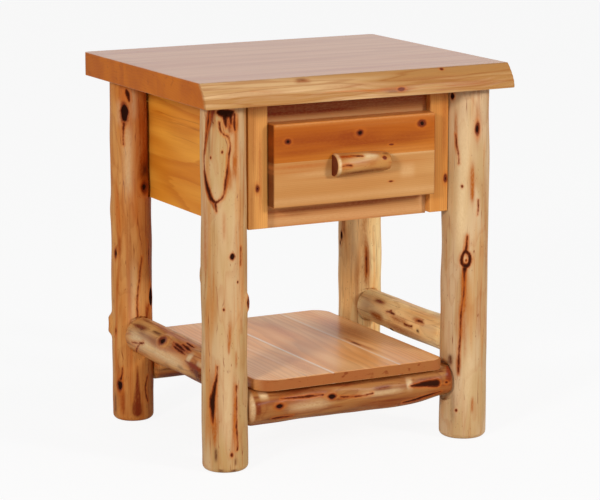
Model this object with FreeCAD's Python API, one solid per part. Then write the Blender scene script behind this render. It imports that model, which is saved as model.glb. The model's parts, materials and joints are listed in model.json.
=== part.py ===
import FreeCAD, Part
import math
import os

# Log nightstand with one drawer and a lower shelf. Millimetres, +Z up, +X to the right, the front faces -Y.
# The origin is on the floor, under the centre of the tabletop.

V = FreeCAD.Vector

# Whole piece
top_width = 586.0
top_depth = 502.0
top_height = 660.0
overrun = 5.0  # how far a cutting solid runs past what it cuts

# Tabletop: edge-glued boards, the front one with a live edge
top_thickness = 41.0
top_rear_board = 37.0
top_middle_board = 137.0
top_corner_radius = 10.0
live_edge_setback = 23.0  # how far the upper edge lies behind the lower one
live_edge_bulge = 5.0  # how far the edge swells in front of the straight line between its two edges
live_edge_wander = 4.0  # the most that the edge wanders from straight
live_edge_places_share = (-0.52, -0.36, -0.2, -0.04, 0.12, 0.28, 0.4, 0.52)
live_edge_wander_shares = (0.9, 0.2, 0.0, 0.55, 0.15, 0.0, 0.5, 1.0)

# Legs: peeled logs, each with its radius, and its girth along the height as shares of that radius
leg_side_overhang = 60.0  # from a leg's centre to the tabletop's end
leg_front_overhang = 63.4  # from a leg's centre to the tabletop's front or rear edge
leg_foot_round = 9.0
leg_radii = {"front_left": 38.7, "front_right": 40.9, "rear_left": 35.9, "rear_right": 39.4}
leg_sides = {"front_left": (-1, -1), "front_right": (1, -1), "rear_left": (-1, 1), "rear_right": (1, 1)}
leg_girth_shares = {
    "front_left": ((0.1, 1.0), (0.3, 1.0), (0.5, 0.985), (0.75, 0.99), (1.0, 0.97)),
    "front_right": ((0.1, 1.0), (0.3, 0.99), (0.5, 1.0), (0.75, 0.985), (1.0, 0.96)),
    "rear_left": ((0.1, 1.01), (0.28, 1.03), (0.5, 0.99), (0.75, 1.0), (1.0, 0.98)),
    "rear_right": ((0.1, 1.0), (0.3, 1.01), (0.5, 1.0), (0.75, 0.98), (1.0, 0.97)),
}

# Log rails: turned tenons in bored legs, with a rounded shoulder in a shallow spot face
tenon_radius = 16.0
tenon_length = 43.0
mortise_depth = 45.0
tenon_glue_gap = 0.15
shoulder_round = 11.0
spot_face_depth = 5.0
spot_face_gap = 1.0
rail_radii = {"front_stretcher": 33.0, "rear_stretcher": 33.5, "left_side_log": 31.5, "right_side_log": 29.8}
side_log_rises = {"left_side_log": 9.5, "right_side_log": 17.5}  # centres above the shelf's top
rail_legs = {
    "front_stretcher": ("front_left", "front_right"),
    "rear_stretcher": ("rear_left", "rear_right"),
    "left_side_log": ("front_left", "rear_left"),
    "right_side_log": ("front_right", "rear_right"),
}
rail_girth_shares = {
    "front_stretcher": ((0.25, 1.01), (0.5, 0.98), (0.75, 1.0)),
    "rear_stretcher": ((0.25, 1.0), (0.5, 1.02), (0.75, 0.99)),
    "left_side_log": ((0.25, 0.97), (0.5, 0.99), (0.75, 1.02)),
    "right_side_log": ((0.25, 1.01), (0.5, 0.99), (0.75, 0.97)),
}

# Shelf: edge-glued boards that run front to back on flats of the two stretchers
shelf_leg_inset = 53.0  # from a leg's centre to the shelf's side, if the shelf lay in the middle
shelf_leg_reach = 36.4  # from a leg's centre to the shelf's front or rear edge
shelf_shift = -6.0  # its centre lies a little to the left of the case's
shelf_thickness = 19.0
shelf_underside = 132.0
shelf_corner_radius = 32.0
shelf_tight_radius = 20.0  # of the right-hand front corner
shelf_joint_shares = (0.25, 0.39, 0.75)  # of the shelf's width
shelf_seat_depth = 2.5  # of the flats on the stretchers
shelf_flat_gap = 1.0

# Case of boards, whose corners stand in notches of the legs
case_side_inset = 26.0  # from a leg's centre line to the side panel's outer face
case_rear_inset = 2.6
case_height = 213.5
back_thickness = 19.0
notch_gap = 0.3

# Face frame
frame_stand_out = 9.4  # of the stiles' faces, in front of the leg's centre line
stile_thickness = 32.0
stile_width = 36.0
stile_log_gap = 0.1  # from the thickest log to the stile's face, which a scribe rabbet sets off
rail_setback = 14.0
bottom_rail_drop = 3.0  # how far the bottom rail hangs below the stiles
dowel_radius = 4.0
dowel_length = 50.0
dowel_places_share = (0.26, 0.74)

# Drawer front
front_thickness = 33.5
front_bottom_reveal = 35.5  # of the case below the drawer front
front_top_reveal = 37.0
front_lap = 8.0  # of the drawer front over the rails
front_lower_board = 76.0
front_side_gap = 1.5
front_back_gap = 0.5
front_edge_round = 3.0

# Drawer box, dovetailed
slide_room = 13.0
box_rear_gap = 29.5
box_rise = 15.0  # from the drawer front's lower edge to the box's
box_top_gap = 22.0
box_thickness = 12.0
bottom_thickness = 6.0
bottom_rise = 10.0
groove_depth = 6.0
groove_gap = 0.2
tail_count = 3
tail_width_share = 0.63  # of the tails' pitch
tail_flare = 2.0

# Log pull: its stations run from the left end to the right end
pull_length = 106.0
pull_shift = 7.0
pull_rise = 66.0  # above the drawer front's lower edge
pull_radius = 17.8
pull_stand_out = 22.0
pull_places_share = (0.0, 0.02, 0.25, 0.5, 0.7, 0.86, 0.98, 1.0)
pull_girth_shares = (1.0, 1.1, 1.06, 1.03, 1.0, 0.93, 0.8, 0.72)
pull_rise_shares = (-0.03, -0.03, 0.05, 0.14, 0.15, 0.03, -0.07, -0.08)

# Packers that carry the slides, and cleats that hold the tabletop
packer_height = 50.0
cleat_section = 22.0
cleat_end_gap = 15.0  # behind the stiles

# Telescopic slide, measured from the packer towards the drawer and up and down from its centre line
slide_end_gap = 20.0  # how much shorter than the box
slide_setback = 5.0  # behind the rails' faces
slide_sheet = 1.2
outer_half_height = 22.5
outer_depth = 9.8
middle_half_height = 17.1
middle_start = 1.9
middle_end = 11.1
middle_web = 4.0
inner_half_height = 11.7
inner_start = 5.7
ball_radius = 1.8
ball_count = 8
ball_hole_gap = 0.15
outer_ball_centre = 6.0
inner_ball_centre = 8.4
strip_thickness = 0.8
strip_width = 5.4
strip_end = 12.0  # from a strip's end to its first ball
strip_inset = 10.0  # from the middle member's end to the strip

# Screws: shank radius and length of each kind, the countersunk ones first
case_screw = (2.25, 45.0)
packer_screw = (2.25, 45.0)
top_screw = (2.25, 45.0)
leg_screw = (3.0, 48.0)
shelf_screw = (2.5, 55.0)
front_screw = (2.0, 30.0)
pull_screw = (2.0, 54.0)
cabinet_screw = (1.75, 15.0)
drawer_screw = (1.75, 12.0)
head_radius_share = 1.85  # of the shank radius
pan_head_height = 1.4
recess_share = 0.9  # of the shank radius, half the side of the square recess
recess_depth = 1.0
shelf_screw_counterbore = 22.0
leg_screw_edge = 6.0  # from the edge of the notch's wall
screw_places_share = (0.3, 0.5, 0.7)
leg_screw_places_share = (0.12, 0.8)
slide_screw_places_share = (0.1, 0.5, 0.9)
top_screw_places_share = (-0.37, 0.0, 0.37)
shelf_screw_places_share = (-0.35, 0.05, 0.36)
front_screw_places_share = (0.25, 0.8)
front_screw_across_share = 0.6  # of the drawer front's half width
packer_screw_rise_share = 0.36  # of the packer's height, above its centre line
pull_screw_spread = 64.0

# Places worked out from the sizes above
top_underside = top_height - top_thickness
leg_spacing_x = top_width - 2 * leg_side_overhang
leg_spacing_y = top_depth - 2 * leg_front_overhang
shelf_width = leg_spacing_x - 2 * shelf_leg_inset
shelf_depth = leg_spacing_y + 2 * shelf_leg_reach
shelf_top = shelf_underside + shelf_thickness
case_half_width = leg_spacing_x / 2 - case_side_inset
case_half_depth = leg_spacing_y / 2 - case_rear_inset
case_underside = top_underside - case_height
frame_front = leg_spacing_y / 2 + frame_stand_out
frame_back = frame_front - stile_thickness
cleat_length = 2 * (frame_back - cleat_end_gap)
panel_inside = leg_spacing_x / 2 - max(leg_radii.values()) - stile_log_gap
rail_front = frame_front - rail_setback
bottom_rail_underside = case_underside - bottom_rail_drop
bottom_rail_height = bottom_rail_drop + front_bottom_reveal + front_lap
top_rail_height = front_top_reveal + front_lap
opening_half = panel_inside - stile_width
front_back = rail_front + front_back_gap
front_face = front_back + front_thickness
front_half = opening_half - front_side_gap
front_underside = case_underside + front_bottom_reveal
front_height = case_height - front_bottom_reveal - front_top_reveal
pull_height = front_underside + pull_rise
back_inside = case_half_depth - back_thickness
box_half = opening_half - slide_room
box_rear = back_inside - box_rear_gap
box_underside = front_underside + box_rise
box_height = front_height - box_rise - box_top_gap
box_top = box_underside + box_height
slide_height = box_underside + box_height / 2
slide_front = rail_front - slide_setback
slide_length = front_back + box_rear - slide_end_gap
ball_pitch = (slide_length / 2 - strip_inset - 2 * strip_end) / (ball_count - 1)
strip_length = (ball_count - 1) * ball_pitch + 2 * strip_end

parts = {}


# A box from one corner to the opposite one
def block(x0, x1, y0, y1, z0, z1):
    return Part.makeBox(x1 - x0, y1 - y0, z1 - z0, V(x0, y0, z0))


# The same shape on the other side of the centre plane
def mirrored(shape):
    return shape.mirror(V(0, 0, 0), V(1, 0, 0))


# A solid turned about Z from a closed outline of edges in the XZ plane
def turned(edges):
    solid = Part.Face(Part.Wire(edges)).revolve(V(0, 0, 0), V(0, 0, 1), 360)
    if solid.Volume < 0:
        solid.reverse()
    return solid


# A shape made along +Z from the origin, laid along a direction from a point
def laid(shape, point, direction):
    shape.Placement = FreeCAD.Placement(point, FreeCAD.Rotation(V(0, 0, 1), direction))
    return shape


def line(a, b):
    return Part.LineSegment(a, b).toShape()


def spline(points):
    curve = Part.BSplineCurve()
    curve.interpolate(points)
    return curve.toShape()


# A quarter round from a to b about the centre c, both at the same distance from it
def quarter(a, b, c):
    middle = (a - c) + (b - c)
    middle.normalize()
    return Part.Arc(a, c + middle * a.distanceToPoint(c), b).toShape()


# A wood screw along a direction, its head's top or a pan head's seat at the point: the blank that cuts its
# hole, without the recess
def screw_blank(point, direction, size, pan=False):
    radius, length = size
    head = radius * head_radius_share
    neck = V(radius, 0, 0) if pan else V(radius, 0, head - radius)
    top = V(head, 0, -pan_head_height) if pan else V(head, 0, 0)
    axis_top = V(0, 0, top.z)
    tip = V(0, 0, length)
    shank_end = V(radius, 0, length - 2 * radius)
    edges = [line(axis_top, top)]
    if pan:
        rim = V(head, 0, 0)
        edges += [line(top, rim), line(rim, neck)]
    else:
        edges += [line(top, neck)]
    edges += [line(neck, shank_end), line(shank_end, tip), line(tip, axis_top)]
    return laid(turned(edges), point, direction)


# The same screw with its square recess
def screw(point, direction, size, pan=False):
    side = size[0] * recess_share
    start = -pan_head_height if pan else 0
    recess = Part.makeBox(2 * side, 2 * side, recess_depth + overrun, V(-side, -side, start - overrun))
    return screw_blank(point, direction, size, pan).cut(laid(recess, point, direction))


# A named group of screws: the node, and the blanks that other pieces are cut with
def screws(node, places, size, pan=False):
    parts[node] = Part.makeCompound([screw(point, direction, size, pan) for point, direction in places])
    return [screw_blank(point, direction, size, pan) for point, direction in places]


def bored(shape, tools):
    for tool in tools:
        if shape.BoundBox.intersect(tool.BoundBox):
            shape = shape.cut(tool)
    return shape


# A vertical edge of a solid near a corner, rounded
def rounded_corners(shape, corners, radius):
    edges = []
    for edge in shape.Edges:
        box = edge.BoundBox
        upright = box.ZLength > max(box.XLength, box.YLength)
        if upright and any(math.hypot(box.XMin - x, box.YMin - y) < radius for x, y in corners):
            edges.append(edge)
    return shape.makeFillet(radius, edges)


# Legs

def leg_centre(name, height=0.0):
    side_x, side_y = leg_sides[name]
    return V(side_x * leg_spacing_x / 2, side_y * leg_spacing_y / 2, height)


def leg_log(name):
    radius = leg_radii[name]
    stations = [V(radius * girth, 0, top_underside * place) for place, girth in leg_girth_shares[name]]
    foot = V(stations[0].x, 0, leg_foot_round)
    sole = V(foot.x - leg_foot_round, 0, 0)
    top = V(0, 0, top_underside)
    edges = [
        line(V(0, 0, 0), sole),
        quarter(sole, foot, V(sole.x, 0, leg_foot_round)),
        spline([foot] + stations),
        line(stations[-1], top),
        line(top, V(0, 0, 0)),
    ]
    return laid(turned(edges), leg_centre(name), V(0, 0, 1))


# The case corner's notch: it takes the log away inside of the case's faces and above its underside
def leg_notch(name):
    side_x, side_y = leg_sides[name]
    reach = 2 * leg_radii[name]
    x_wall = side_x * (case_half_width + notch_gap)
    y_wall = side_y * (case_half_depth + notch_gap)
    x_ends = sorted((x_wall, x_wall - side_x * reach))
    y_ends = sorted((y_wall, y_wall - side_y * reach))
    return block(*x_ends, *y_ends, case_underside, top_underside + overrun)


# Log rails

# A stretcher carries the shelf on its flat; a side log lies above the shelf
def rail_height(name):
    if name in side_log_rises:
        return shelf_top + side_log_rises[name]
    return shelf_underside + shelf_seat_depth - rail_radii[name]


def rail_ends(name):
    first, last = rail_legs[name]
    height = rail_height(name)
    start = leg_centre(first, height)
    end = leg_centre(last, height)
    direction = (end - start).normalize()
    start = start + direction * (leg_radii[first] - spot_face_depth)
    end = end - direction * (leg_radii[last] - spot_face_depth)
    return start, end, direction


def rail_log(name):
    start, end, direction = rail_ends(name)
    length = (end - start).Length
    radius = rail_radii[name]
    shoulder = radius - shoulder_round
    stations = [V(radius * girth, 0, length * place) for place, girth in rail_girth_shares[name]]
    low = V(radius, 0, shoulder_round)
    high = V(radius, 0, length - shoulder_round)
    tenon_end = V(tenon_radius, 0, -tenon_length)
    outline = [V(0, 0, -tenon_length), tenon_end, V(tenon_radius, 0, 0), V(shoulder, 0, 0)]
    mirror = [V(point.x, 0, length - point.z) for point in reversed(outline)]
    edges = [line(a, b) for a, b in zip(outline, outline[1:])]
    edges.append(quarter(outline[-1], low, V(shoulder, 0, shoulder_round)))
    edges.append(spline([low] + stations + [high]))
    edges.append(quarter(high, mirror[0], V(shoulder, 0, length - shoulder_round)))
    edges += [line(a, b) for a, b in zip(mirror, mirror[1:])]
    edges.append(line(mirror[-1], outline[0]))
    return laid(turned(edges), start, direction)


# What a log rail takes out of the legs at its two ends: the bore of the tenon and the spot face
def rail_bores(name):
    start, end, direction = rail_ends(name)
    bore = tenon_radius + tenon_glue_gap
    face = rail_radii[name] + spot_face_gap
    tools = []
    for seat, outward in ((start, direction), (end, direction * -1)):
        tools.append(Part.makeCylinder(bore, mortise_depth + overrun, seat + outward * overrun, outward * -1))
        tools.append(Part.makeCylinder(face, 2 * spot_face_depth, seat, outward))
    return tools


# Tabletop

# What lies in front of the live edge: a loft of sections across the width
def live_edge_cutter():
    y_front = -top_depth / 2
    sections = []
    for place, share in zip(live_edge_places_share, live_edge_wander_shares):
        x = place * top_width
        low = V(x, y_front + live_edge_wander * share, top_underside)
        high = V(x, y_front + live_edge_setback + live_edge_wander * share, top_height)
        middle = (low + high) * 0.5 + V(0, -live_edge_bulge, live_edge_bulge / 2)
        above = high + V(0, 0, overrun)
        below = low - V(0, 0, overrun)
        clear = y_front - overrun
        corners = [high, above, V(x, clear, above.z), V(x, clear, below.z), below, low]
        edges = [Part.Arc(low, middle, high).toShape()]
        edges += [line(a, b) for a, b in zip(corners, corners[1:])]
        sections.append(Part.Wire(edges))
    return Part.makeLoft(sections, True, False)


def tabletop(tools):
    half = top_width / 2
    joints = [top_depth / 2]
    for width in (top_rear_board, top_middle_board, top_middle_board):
        joints.append(joints[-1] - width)
    joints.append(-top_depth / 2)
    names = ("top_board_rear", "top_board_middle_rear", "top_board_middle_front", "top_board_front")
    for name, back, front in zip(names, joints, joints[1:]):
        board = block(-half, half, front, back, top_underside, top_height)
        if name == "top_board_rear":
            board = rounded_corners(board, [(-half, back), (half, back)], top_corner_radius)
        if name == "top_board_front":
            board = board.cut(live_edge_cutter())
        parts[name] = bored(board, tools)


# Shelf

def shelf(tools):
    left = shelf_shift - shelf_width / 2
    right = left + shelf_width
    reach = shelf_depth / 2
    joints = [left] + [left + share * shelf_width for share in shelf_joint_shares] + [right]
    whole = block(left, right, -reach, reach, shelf_underside, shelf_top)
    wide_corners = [(left, -reach), (left, reach), (right, reach)]
    whole = rounded_corners(whole, wide_corners, shelf_corner_radius)
    whole = rounded_corners(whole, [(right, -reach)], shelf_tight_radius)
    for number, (start, end) in enumerate(zip(joints, joints[1:]), 1):
        strip = block(start, end, -reach, reach, shelf_underside, shelf_top)
        parts["shelf_board_%d" % number] = bored(whole.common(strip), tools)


# The flat that the shelf rests on, cut from the top of a stretcher
def shelf_flat():
    half = shelf_width / 2 + shelf_flat_gap
    reach = shelf_depth / 2
    return block(shelf_shift - half, shelf_shift + half, -reach, reach, shelf_underside, shelf_top)


# Case and face frame: the left-hand piece, which the right-hand one mirrors

def side_panel():
    return block(
        -case_half_width, -panel_inside, -case_half_depth, case_half_depth, case_underside, top_underside
    )


# A stile stands between the opening and the side panel's inner face
def stile():
    return block(-panel_inside, -opening_half, -frame_front, -frame_back, case_underside, top_underside)


def frame_rail(underside, height):
    return block(-opening_half, opening_half, -rail_front, -frame_back, underside, underside + height)


def frame_dowels():
    rails = ((bottom_rail_underside, bottom_rail_height), (top_underside - top_rail_height, top_rail_height))
    y = -(rail_front + frame_back) / 2
    dowels = []
    for underside, height in rails:
        for share in dowel_places_share:
            for side in (-1, 1):
                start = V(side * opening_half - dowel_length / 2, y, underside + share * height)
                dowels.append(Part.makeCylinder(dowel_radius, dowel_length, start, V(1, 0, 0)))
    return dowels


def packer():
    low = slide_height - packer_height / 2
    return block(-panel_inside, -opening_half, -frame_back, back_inside, low, low + packer_height)


def top_cleat():
    half = cleat_length / 2
    inner = panel_inside - cleat_section
    return block(-panel_inside, -inner, -half, half, top_underside - cleat_section, top_underside)


# Slide: left-hand members, whose section starts at the packer's face

def slide_bar(start, end, low, high, front=-slide_front, length=slide_length):
    x = -opening_half
    return block(x + start, x + end, front, front + length, slide_height + low, slide_height + high)


# A channel: a web from top to bottom, with a flange along each edge
def channel(web_start, flange_start, flange_end, half_height):
    web = slide_bar(web_start, web_start + slide_sheet, -half_height, half_height)
    upper = slide_bar(flange_start, flange_end, half_height - slide_sheet, half_height)
    lower = slide_bar(flange_start, flange_end, -half_height, slide_sheet - half_height)
    return web.fuse([upper, lower]).removeSplitter()


# Rows of balls above and below the centre line, in the strips that space them
def ball_strips(front, centre, height):
    solids = []
    first = front + strip_end
    for side in (-1, 1):
        middle = side * height
        strip = slide_bar(
            centre - strip_width / 2,
            centre + strip_width / 2,
            middle - strip_thickness / 2,
            middle + strip_thickness / 2,
            front,
            strip_length,
        )
        for number in range(ball_count):
            place = V(centre - opening_half, first + number * ball_pitch, slide_height + middle)
            low = place - V(0, 0, ball_radius)
            hole = Part.makeCylinder(ball_radius + ball_hole_gap, 2 * ball_radius, low, V(0, 0, 1))
            strip = strip.cut(hole)
            solids.append(Part.makeSphere(ball_radius, place))
        solids.append(strip)
    return solids


def slide_balls():
    outer_gap = (outer_half_height - slide_sheet + middle_half_height) / 2
    inner_gap = (middle_half_height - slide_sheet + inner_half_height) / 2
    rear = slide_length - slide_front - strip_inset - strip_length
    balls = ball_strips(rear, outer_ball_centre, outer_gap)
    balls += ball_strips(strip_inset - slide_front, inner_ball_centre, inner_gap)
    return Part.makeCompound(balls)


# Drawer

# The tails of one box corner: flared fingers that reach through the thickness of the front or the back
def tails(side, shoulder, end):
    solids = []
    pitch = box_height / tail_count
    x_ends = sorted((side * (box_half - box_thickness), side * box_half))
    for number in range(tail_count):
        middle = box_underside + (number + 0.5) * pitch
        flare = tail_width_share * pitch / 2
        root = flare - tail_flare
        corners = [
            V(x_ends[0], shoulder, middle - root),
            V(x_ends[0], end, middle - flare),
            V(x_ends[0], end, middle + flare),
            V(x_ends[0], shoulder, middle + root),
        ]
        outline = Part.makePolygon(corners + corners[:1])
        solids.append(Part.Face(outline).extrude(V(box_thickness, 0, 0)))
    return Part.makeCompound(solids)


def bottom_panel(gap):
    side = box_half - box_thickness + groove_depth - gap
    front = -front_back + box_thickness - groove_depth + gap
    rear = box_rear - box_thickness + groove_depth - gap
    low = box_underside + bottom_rise
    return block(-side, side, front, rear, low, low + bottom_thickness)


def drawer_box():
    y_front = -front_back
    inside_front = y_front + box_thickness
    inside_rear = box_rear - box_thickness
    groove = bottom_panel(0)
    pieces = {
        "drawer_box_front": block(-box_half, box_half, y_front, inside_front, box_underside, box_top),
        "drawer_box_back": block(-box_half, box_half, inside_rear, box_rear, box_underside, box_top),
    }
    for name, side in (("drawer_side_left", -1), ("drawer_side_right", 1)):
        x_ends = sorted((side * (box_half - box_thickness), side * box_half))
        board = block(*x_ends, inside_front, inside_rear, box_underside, box_top)
        front_tails = tails(side, inside_front, y_front)
        rear_tails = tails(side, inside_rear, box_rear)
        pieces[name] = board.fuse([front_tails, rear_tails]).removeSplitter()
        pieces["drawer_box_front"] = pieces["drawer_box_front"].cut(front_tails)
        pieces["drawer_box_back"] = pieces["drawer_box_back"].cut(rear_tails)
    pieces = {name: piece.cut(groove) for name, piece in pieces.items()}
    pieces["drawer_bottom"] = bottom_panel(groove_gap)
    return pieces


# The front's two boards, cut from one blank whose face edges are rounded
def drawer_front():
    joint = front_underside + front_lower_board
    top = front_underside + front_height
    blank = block(-front_half, front_half, -front_face, -front_back, front_underside, top)
    face_edges = [edge for edge in blank.Edges if edge.BoundBox.YMax < -front_face + front_edge_round]
    blank = blank.makeFillet(front_edge_round, face_edges)
    reach = front_face + overrun
    lower = block(-front_half, front_half, -reach, 0, front_underside, joint)
    upper = block(-front_half, front_half, -reach, 0, joint, top)
    return {"drawer_front_lower": blank.common(lower), "drawer_front_upper": blank.common(upper)}


# A short log with a flat back on the drawer front
def log_pull():
    rings = []
    for place, girth, rise in zip(pull_places_share, pull_girth_shares, pull_rise_shares):
        radius = pull_radius * girth
        x = pull_shift + (place - 0.5) * pull_length
        y = -front_face - pull_stand_out + pull_radius
        centre = V(x, y, pull_height + rise * pull_radius)
        rings.append(Part.Wire(Part.Circle(centre, V(1, 0, 0), radius).toShape()))
    log = Part.makeLoft(rings, True, False)
    if log.Volume < 0:
        log.reverse()
    half = pull_length
    behind = block(-half, half, -front_face, 0, pull_height - half, pull_height + half)
    return log.cut(behind)


# Places of the screws

def case_screw_places():
    places = []
    for side in (-1, 1):
        for y in (-(rail_front + frame_back) / 2, (case_half_depth + back_inside) / 2):
            for share in screw_places_share:
                point = V(side * case_half_width, y, case_underside + share * case_height)
                places.append((point, V(-side, 0, 0)))
    return places


def leg_screw_places():
    places = []
    for name, (side_x, side_y) in leg_sides.items():
        radius = leg_radii[name]
        offset = leg_spacing_x / 2 - case_half_width
        chord = math.sqrt(radius**2 - offset**2)
        y = side_y * (leg_spacing_y / 2 - chord + leg_screw_edge)
        for share in leg_screw_places_share:
            point = V(side_x * panel_inside, y, case_underside + share * case_height)
            places.append((point, V(side_x, 0, 0)))
    return places


def top_screw_places():
    x = panel_inside - cleat_section / 2
    z = top_underside - cleat_section
    shares = top_screw_places_share
    return [(V(side * x, share * cleat_length, z), V(0, 0, 1)) for side in (-1, 1) for share in shares]


def packer_screw_places():
    length = frame_back + back_inside
    z = slide_height + packer_height * packer_screw_rise_share
    places = []
    for side in (-1, 1):
        for share in screw_places_share:
            places.append((V(side * opening_half, share * length - frame_back, z), V(side, 0, 0)))
    return places


def shelf_screw_places():
    places = []
    for name, side in (("front_stretcher", -1), ("rear_stretcher", 1)):
        low = rail_height(name) - rail_radii[name] + shelf_screw_counterbore
        for share in shelf_screw_places_share:
            x = shelf_shift + share * shelf_width
            places.append((V(x, side * leg_spacing_y / 2, low), V(0, 0, 1)))
    return places


def shelf_counterbores():
    head = shelf_screw[0] * head_radius_share + notch_gap
    depth = shelf_screw_counterbore + overrun
    return [Part.makeCylinder(head, depth, point, V(0, 0, -1)) for point, _ in shelf_screw_places()]


# The screws of a slide member stand in its web, along the member
def slide_screw_places(across, towards_drawer):
    places = []
    for side in (-1, 1):
        x = side * (opening_half - across)
        direction = V(-side if towards_drawer else side, 0, 0)
        for share in slide_screw_places_share:
            places.append((V(x, share * slide_length - slide_front, slide_height), direction))
    return places


def front_screw_places():
    places = []
    for side in (-1, 1):
        x = side * front_half * front_screw_across_share
        for share in front_screw_places_share:
            point = V(x, box_thickness - front_back, box_underside + share * box_height)
            places.append((point, V(0, -1, 0)))
    return places


def pull_screw_places():
    y = box_thickness - front_back
    ends = (-pull_screw_spread / 2, pull_screw_spread / 2)
    return [(V(pull_shift + x, y, pull_height), V(0, -1, 0)) for x in ends]


# Assembly

case_blanks = screws("case_screws", case_screw_places(), case_screw)
leg_blanks = screws("leg_screws", leg_screw_places(), leg_screw)
top_blanks = screws("top_screws", top_screw_places(), top_screw)
packer_blanks = screws("packer_screws", packer_screw_places(), packer_screw)
shelf_blanks = screws("shelf_screws", shelf_screw_places(), shelf_screw)
front_blanks = screws("drawer_front_screws", front_screw_places(), front_screw)
pull_blanks = screws("pull_screws", pull_screw_places(), pull_screw)
inner_web_face = slide_room - slide_sheet
cabinet_blanks = screws("slide_cabinet_screws", slide_screw_places(slide_sheet, False), cabinet_screw, True)
drawer_blanks = screws("slide_drawer_screws", slide_screw_places(inner_web_face, True), drawer_screw, True)

tabletop(top_blanks)
shelf(shelf_blanks)

rail_tools = [tool for name in rail_legs for tool in rail_bores(name)]
for name in leg_radii:
    parts["leg_" + name] = bored(leg_log(name), [leg_notch(name)] + rail_tools + leg_blanks)

for name in rail_legs:
    log = rail_log(name)
    if "stretcher" in name:
        log = bored(log, [shelf_flat()] + shelf_blanks + shelf_counterbores())
    parts[name] = log

dowels = frame_dowels()
parts["frame_dowels"] = Part.makeCompound(dowels)
parts["top_frame_rail"] = bored(frame_rail(top_underside - top_rail_height, top_rail_height), dowels)
parts["bottom_frame_rail"] = bored(frame_rail(bottom_rail_underside, bottom_rail_height), dowels)
back = block(-panel_inside, panel_inside, back_inside, case_half_depth, case_underside, top_underside)
parts["back_panel"] = bored(back, case_blanks)

cabinet_member = channel(0, 0, outer_depth, outer_half_height)
drawer_member = channel(inner_web_face, inner_start, slide_room, inner_half_height)
middle_member = channel(middle_web, middle_start, middle_end, middle_half_height)
handed = {
    "side_panel": (side_panel(), case_blanks + leg_blanks + packer_blanks),
    "stile": (stile(), dowels + case_blanks),
    "slide_packer": (packer(), packer_blanks + cabinet_blanks),
    "top_cleat": (top_cleat(), top_blanks),
    "slide_cabinet_member": (cabinet_member, cabinet_blanks),
    "slide_middle_member": (middle_member, []),
    "slide_balls": (slide_balls(), []),
    "slide_drawer_member": (drawer_member, drawer_blanks),
}
for name, (shape, tools) in handed.items():
    parts[name + "_left"] = bored(shape, tools)
    parts[name + "_right"] = bored(mirrored(shape), tools)

for name, piece in {**drawer_box(), **drawer_front()}.items():
    parts[name] = bored(piece, front_blanks + pull_blanks + drawer_blanks)
parts["log_pull"] = bored(log_pull(), pull_blanks)

os.makedirs("parts", exist_ok=True)
for name, shape in sorted(parts.items()):
    shape.exportStep("parts/%s.step" % name)
    box = shape.BoundBox
    print(name, len(shape.Solids), "solids", round(shape.Volume), "mm3, valid:", shape.isValid())
print(len(parts), "nodes; overall", top_width, "x", top_depth, "x", top_height)
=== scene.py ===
import bpy
import json
import math
import numpy as np
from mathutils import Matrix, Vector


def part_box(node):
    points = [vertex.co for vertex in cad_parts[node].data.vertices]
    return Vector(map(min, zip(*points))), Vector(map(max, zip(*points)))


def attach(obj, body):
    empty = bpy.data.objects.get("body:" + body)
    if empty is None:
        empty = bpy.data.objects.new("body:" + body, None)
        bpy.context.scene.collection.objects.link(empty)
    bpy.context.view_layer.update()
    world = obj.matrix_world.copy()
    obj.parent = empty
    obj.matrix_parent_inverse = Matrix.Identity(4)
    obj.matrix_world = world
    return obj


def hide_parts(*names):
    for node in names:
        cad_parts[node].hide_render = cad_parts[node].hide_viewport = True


# Log nightstand: its looks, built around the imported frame.
# Metres, +Z up, +X to the right of someone facing the drawer, which opens towards -Y.

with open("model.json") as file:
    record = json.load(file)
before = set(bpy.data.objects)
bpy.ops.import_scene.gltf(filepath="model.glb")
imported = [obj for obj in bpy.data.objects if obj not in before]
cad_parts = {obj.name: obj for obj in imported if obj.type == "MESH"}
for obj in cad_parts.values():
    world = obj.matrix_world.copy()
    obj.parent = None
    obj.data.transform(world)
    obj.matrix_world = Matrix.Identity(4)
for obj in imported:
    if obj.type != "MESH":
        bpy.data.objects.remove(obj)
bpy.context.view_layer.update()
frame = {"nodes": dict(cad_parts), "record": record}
mm = 0.001
print("frame in place")


# View, light and floor

view = {
    "place": (-2.1317, -4.0697, 1.2383),
    "heading": 27.736,  # degrees from +Y towards +X
    "pitchDown": 11.313,  # degrees below level
    "lens": 159.45,  # mm
    "sensor": 36.0,  # mm wide
}
studio = {
    "ambient": 0.34,
    "lamps": {
        "leftLamp": {"place": (-4.2, -2.9, 2.3), "power": 128.0},
        "rightLamp": {"place": (2.6, -4.6, 2.5), "power": 132.0},
    },
    "lampSide": 0.8,
    "aim": (0.0, 0.0, 0.35),
    "floorHalf": 40.0,
    "floorDrop": 0.0004,
    "floorPaint": 0.9,
    "floorWhite": 0.9,  # share of plain white that the camera sees in the floor
    "floorShine": 0.2,  # the same for mirror-like and see-through rays
}
white = (1.0, 1.0, 1.0, 1.0)


# A colour written as it looks on a screen, 0 to 255, as the linear value that a shader takes
def paint(red, green, blue):
    shares = np.array((red, green, blue)) / 255
    linear = np.where(shares <= 0.04045, shares / 12.92, ((shares + 0.055) / 1.055) ** 2.4)
    return (*linear.tolist(), 1.0)


def darker(colour, share):
    return tuple(share * c for c in colour[:3]) + (1.0,)


def addObject(name, data):
    made = bpy.data.objects.new(name, data)
    bpy.context.scene.collection.objects.link(made)
    return made


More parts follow.
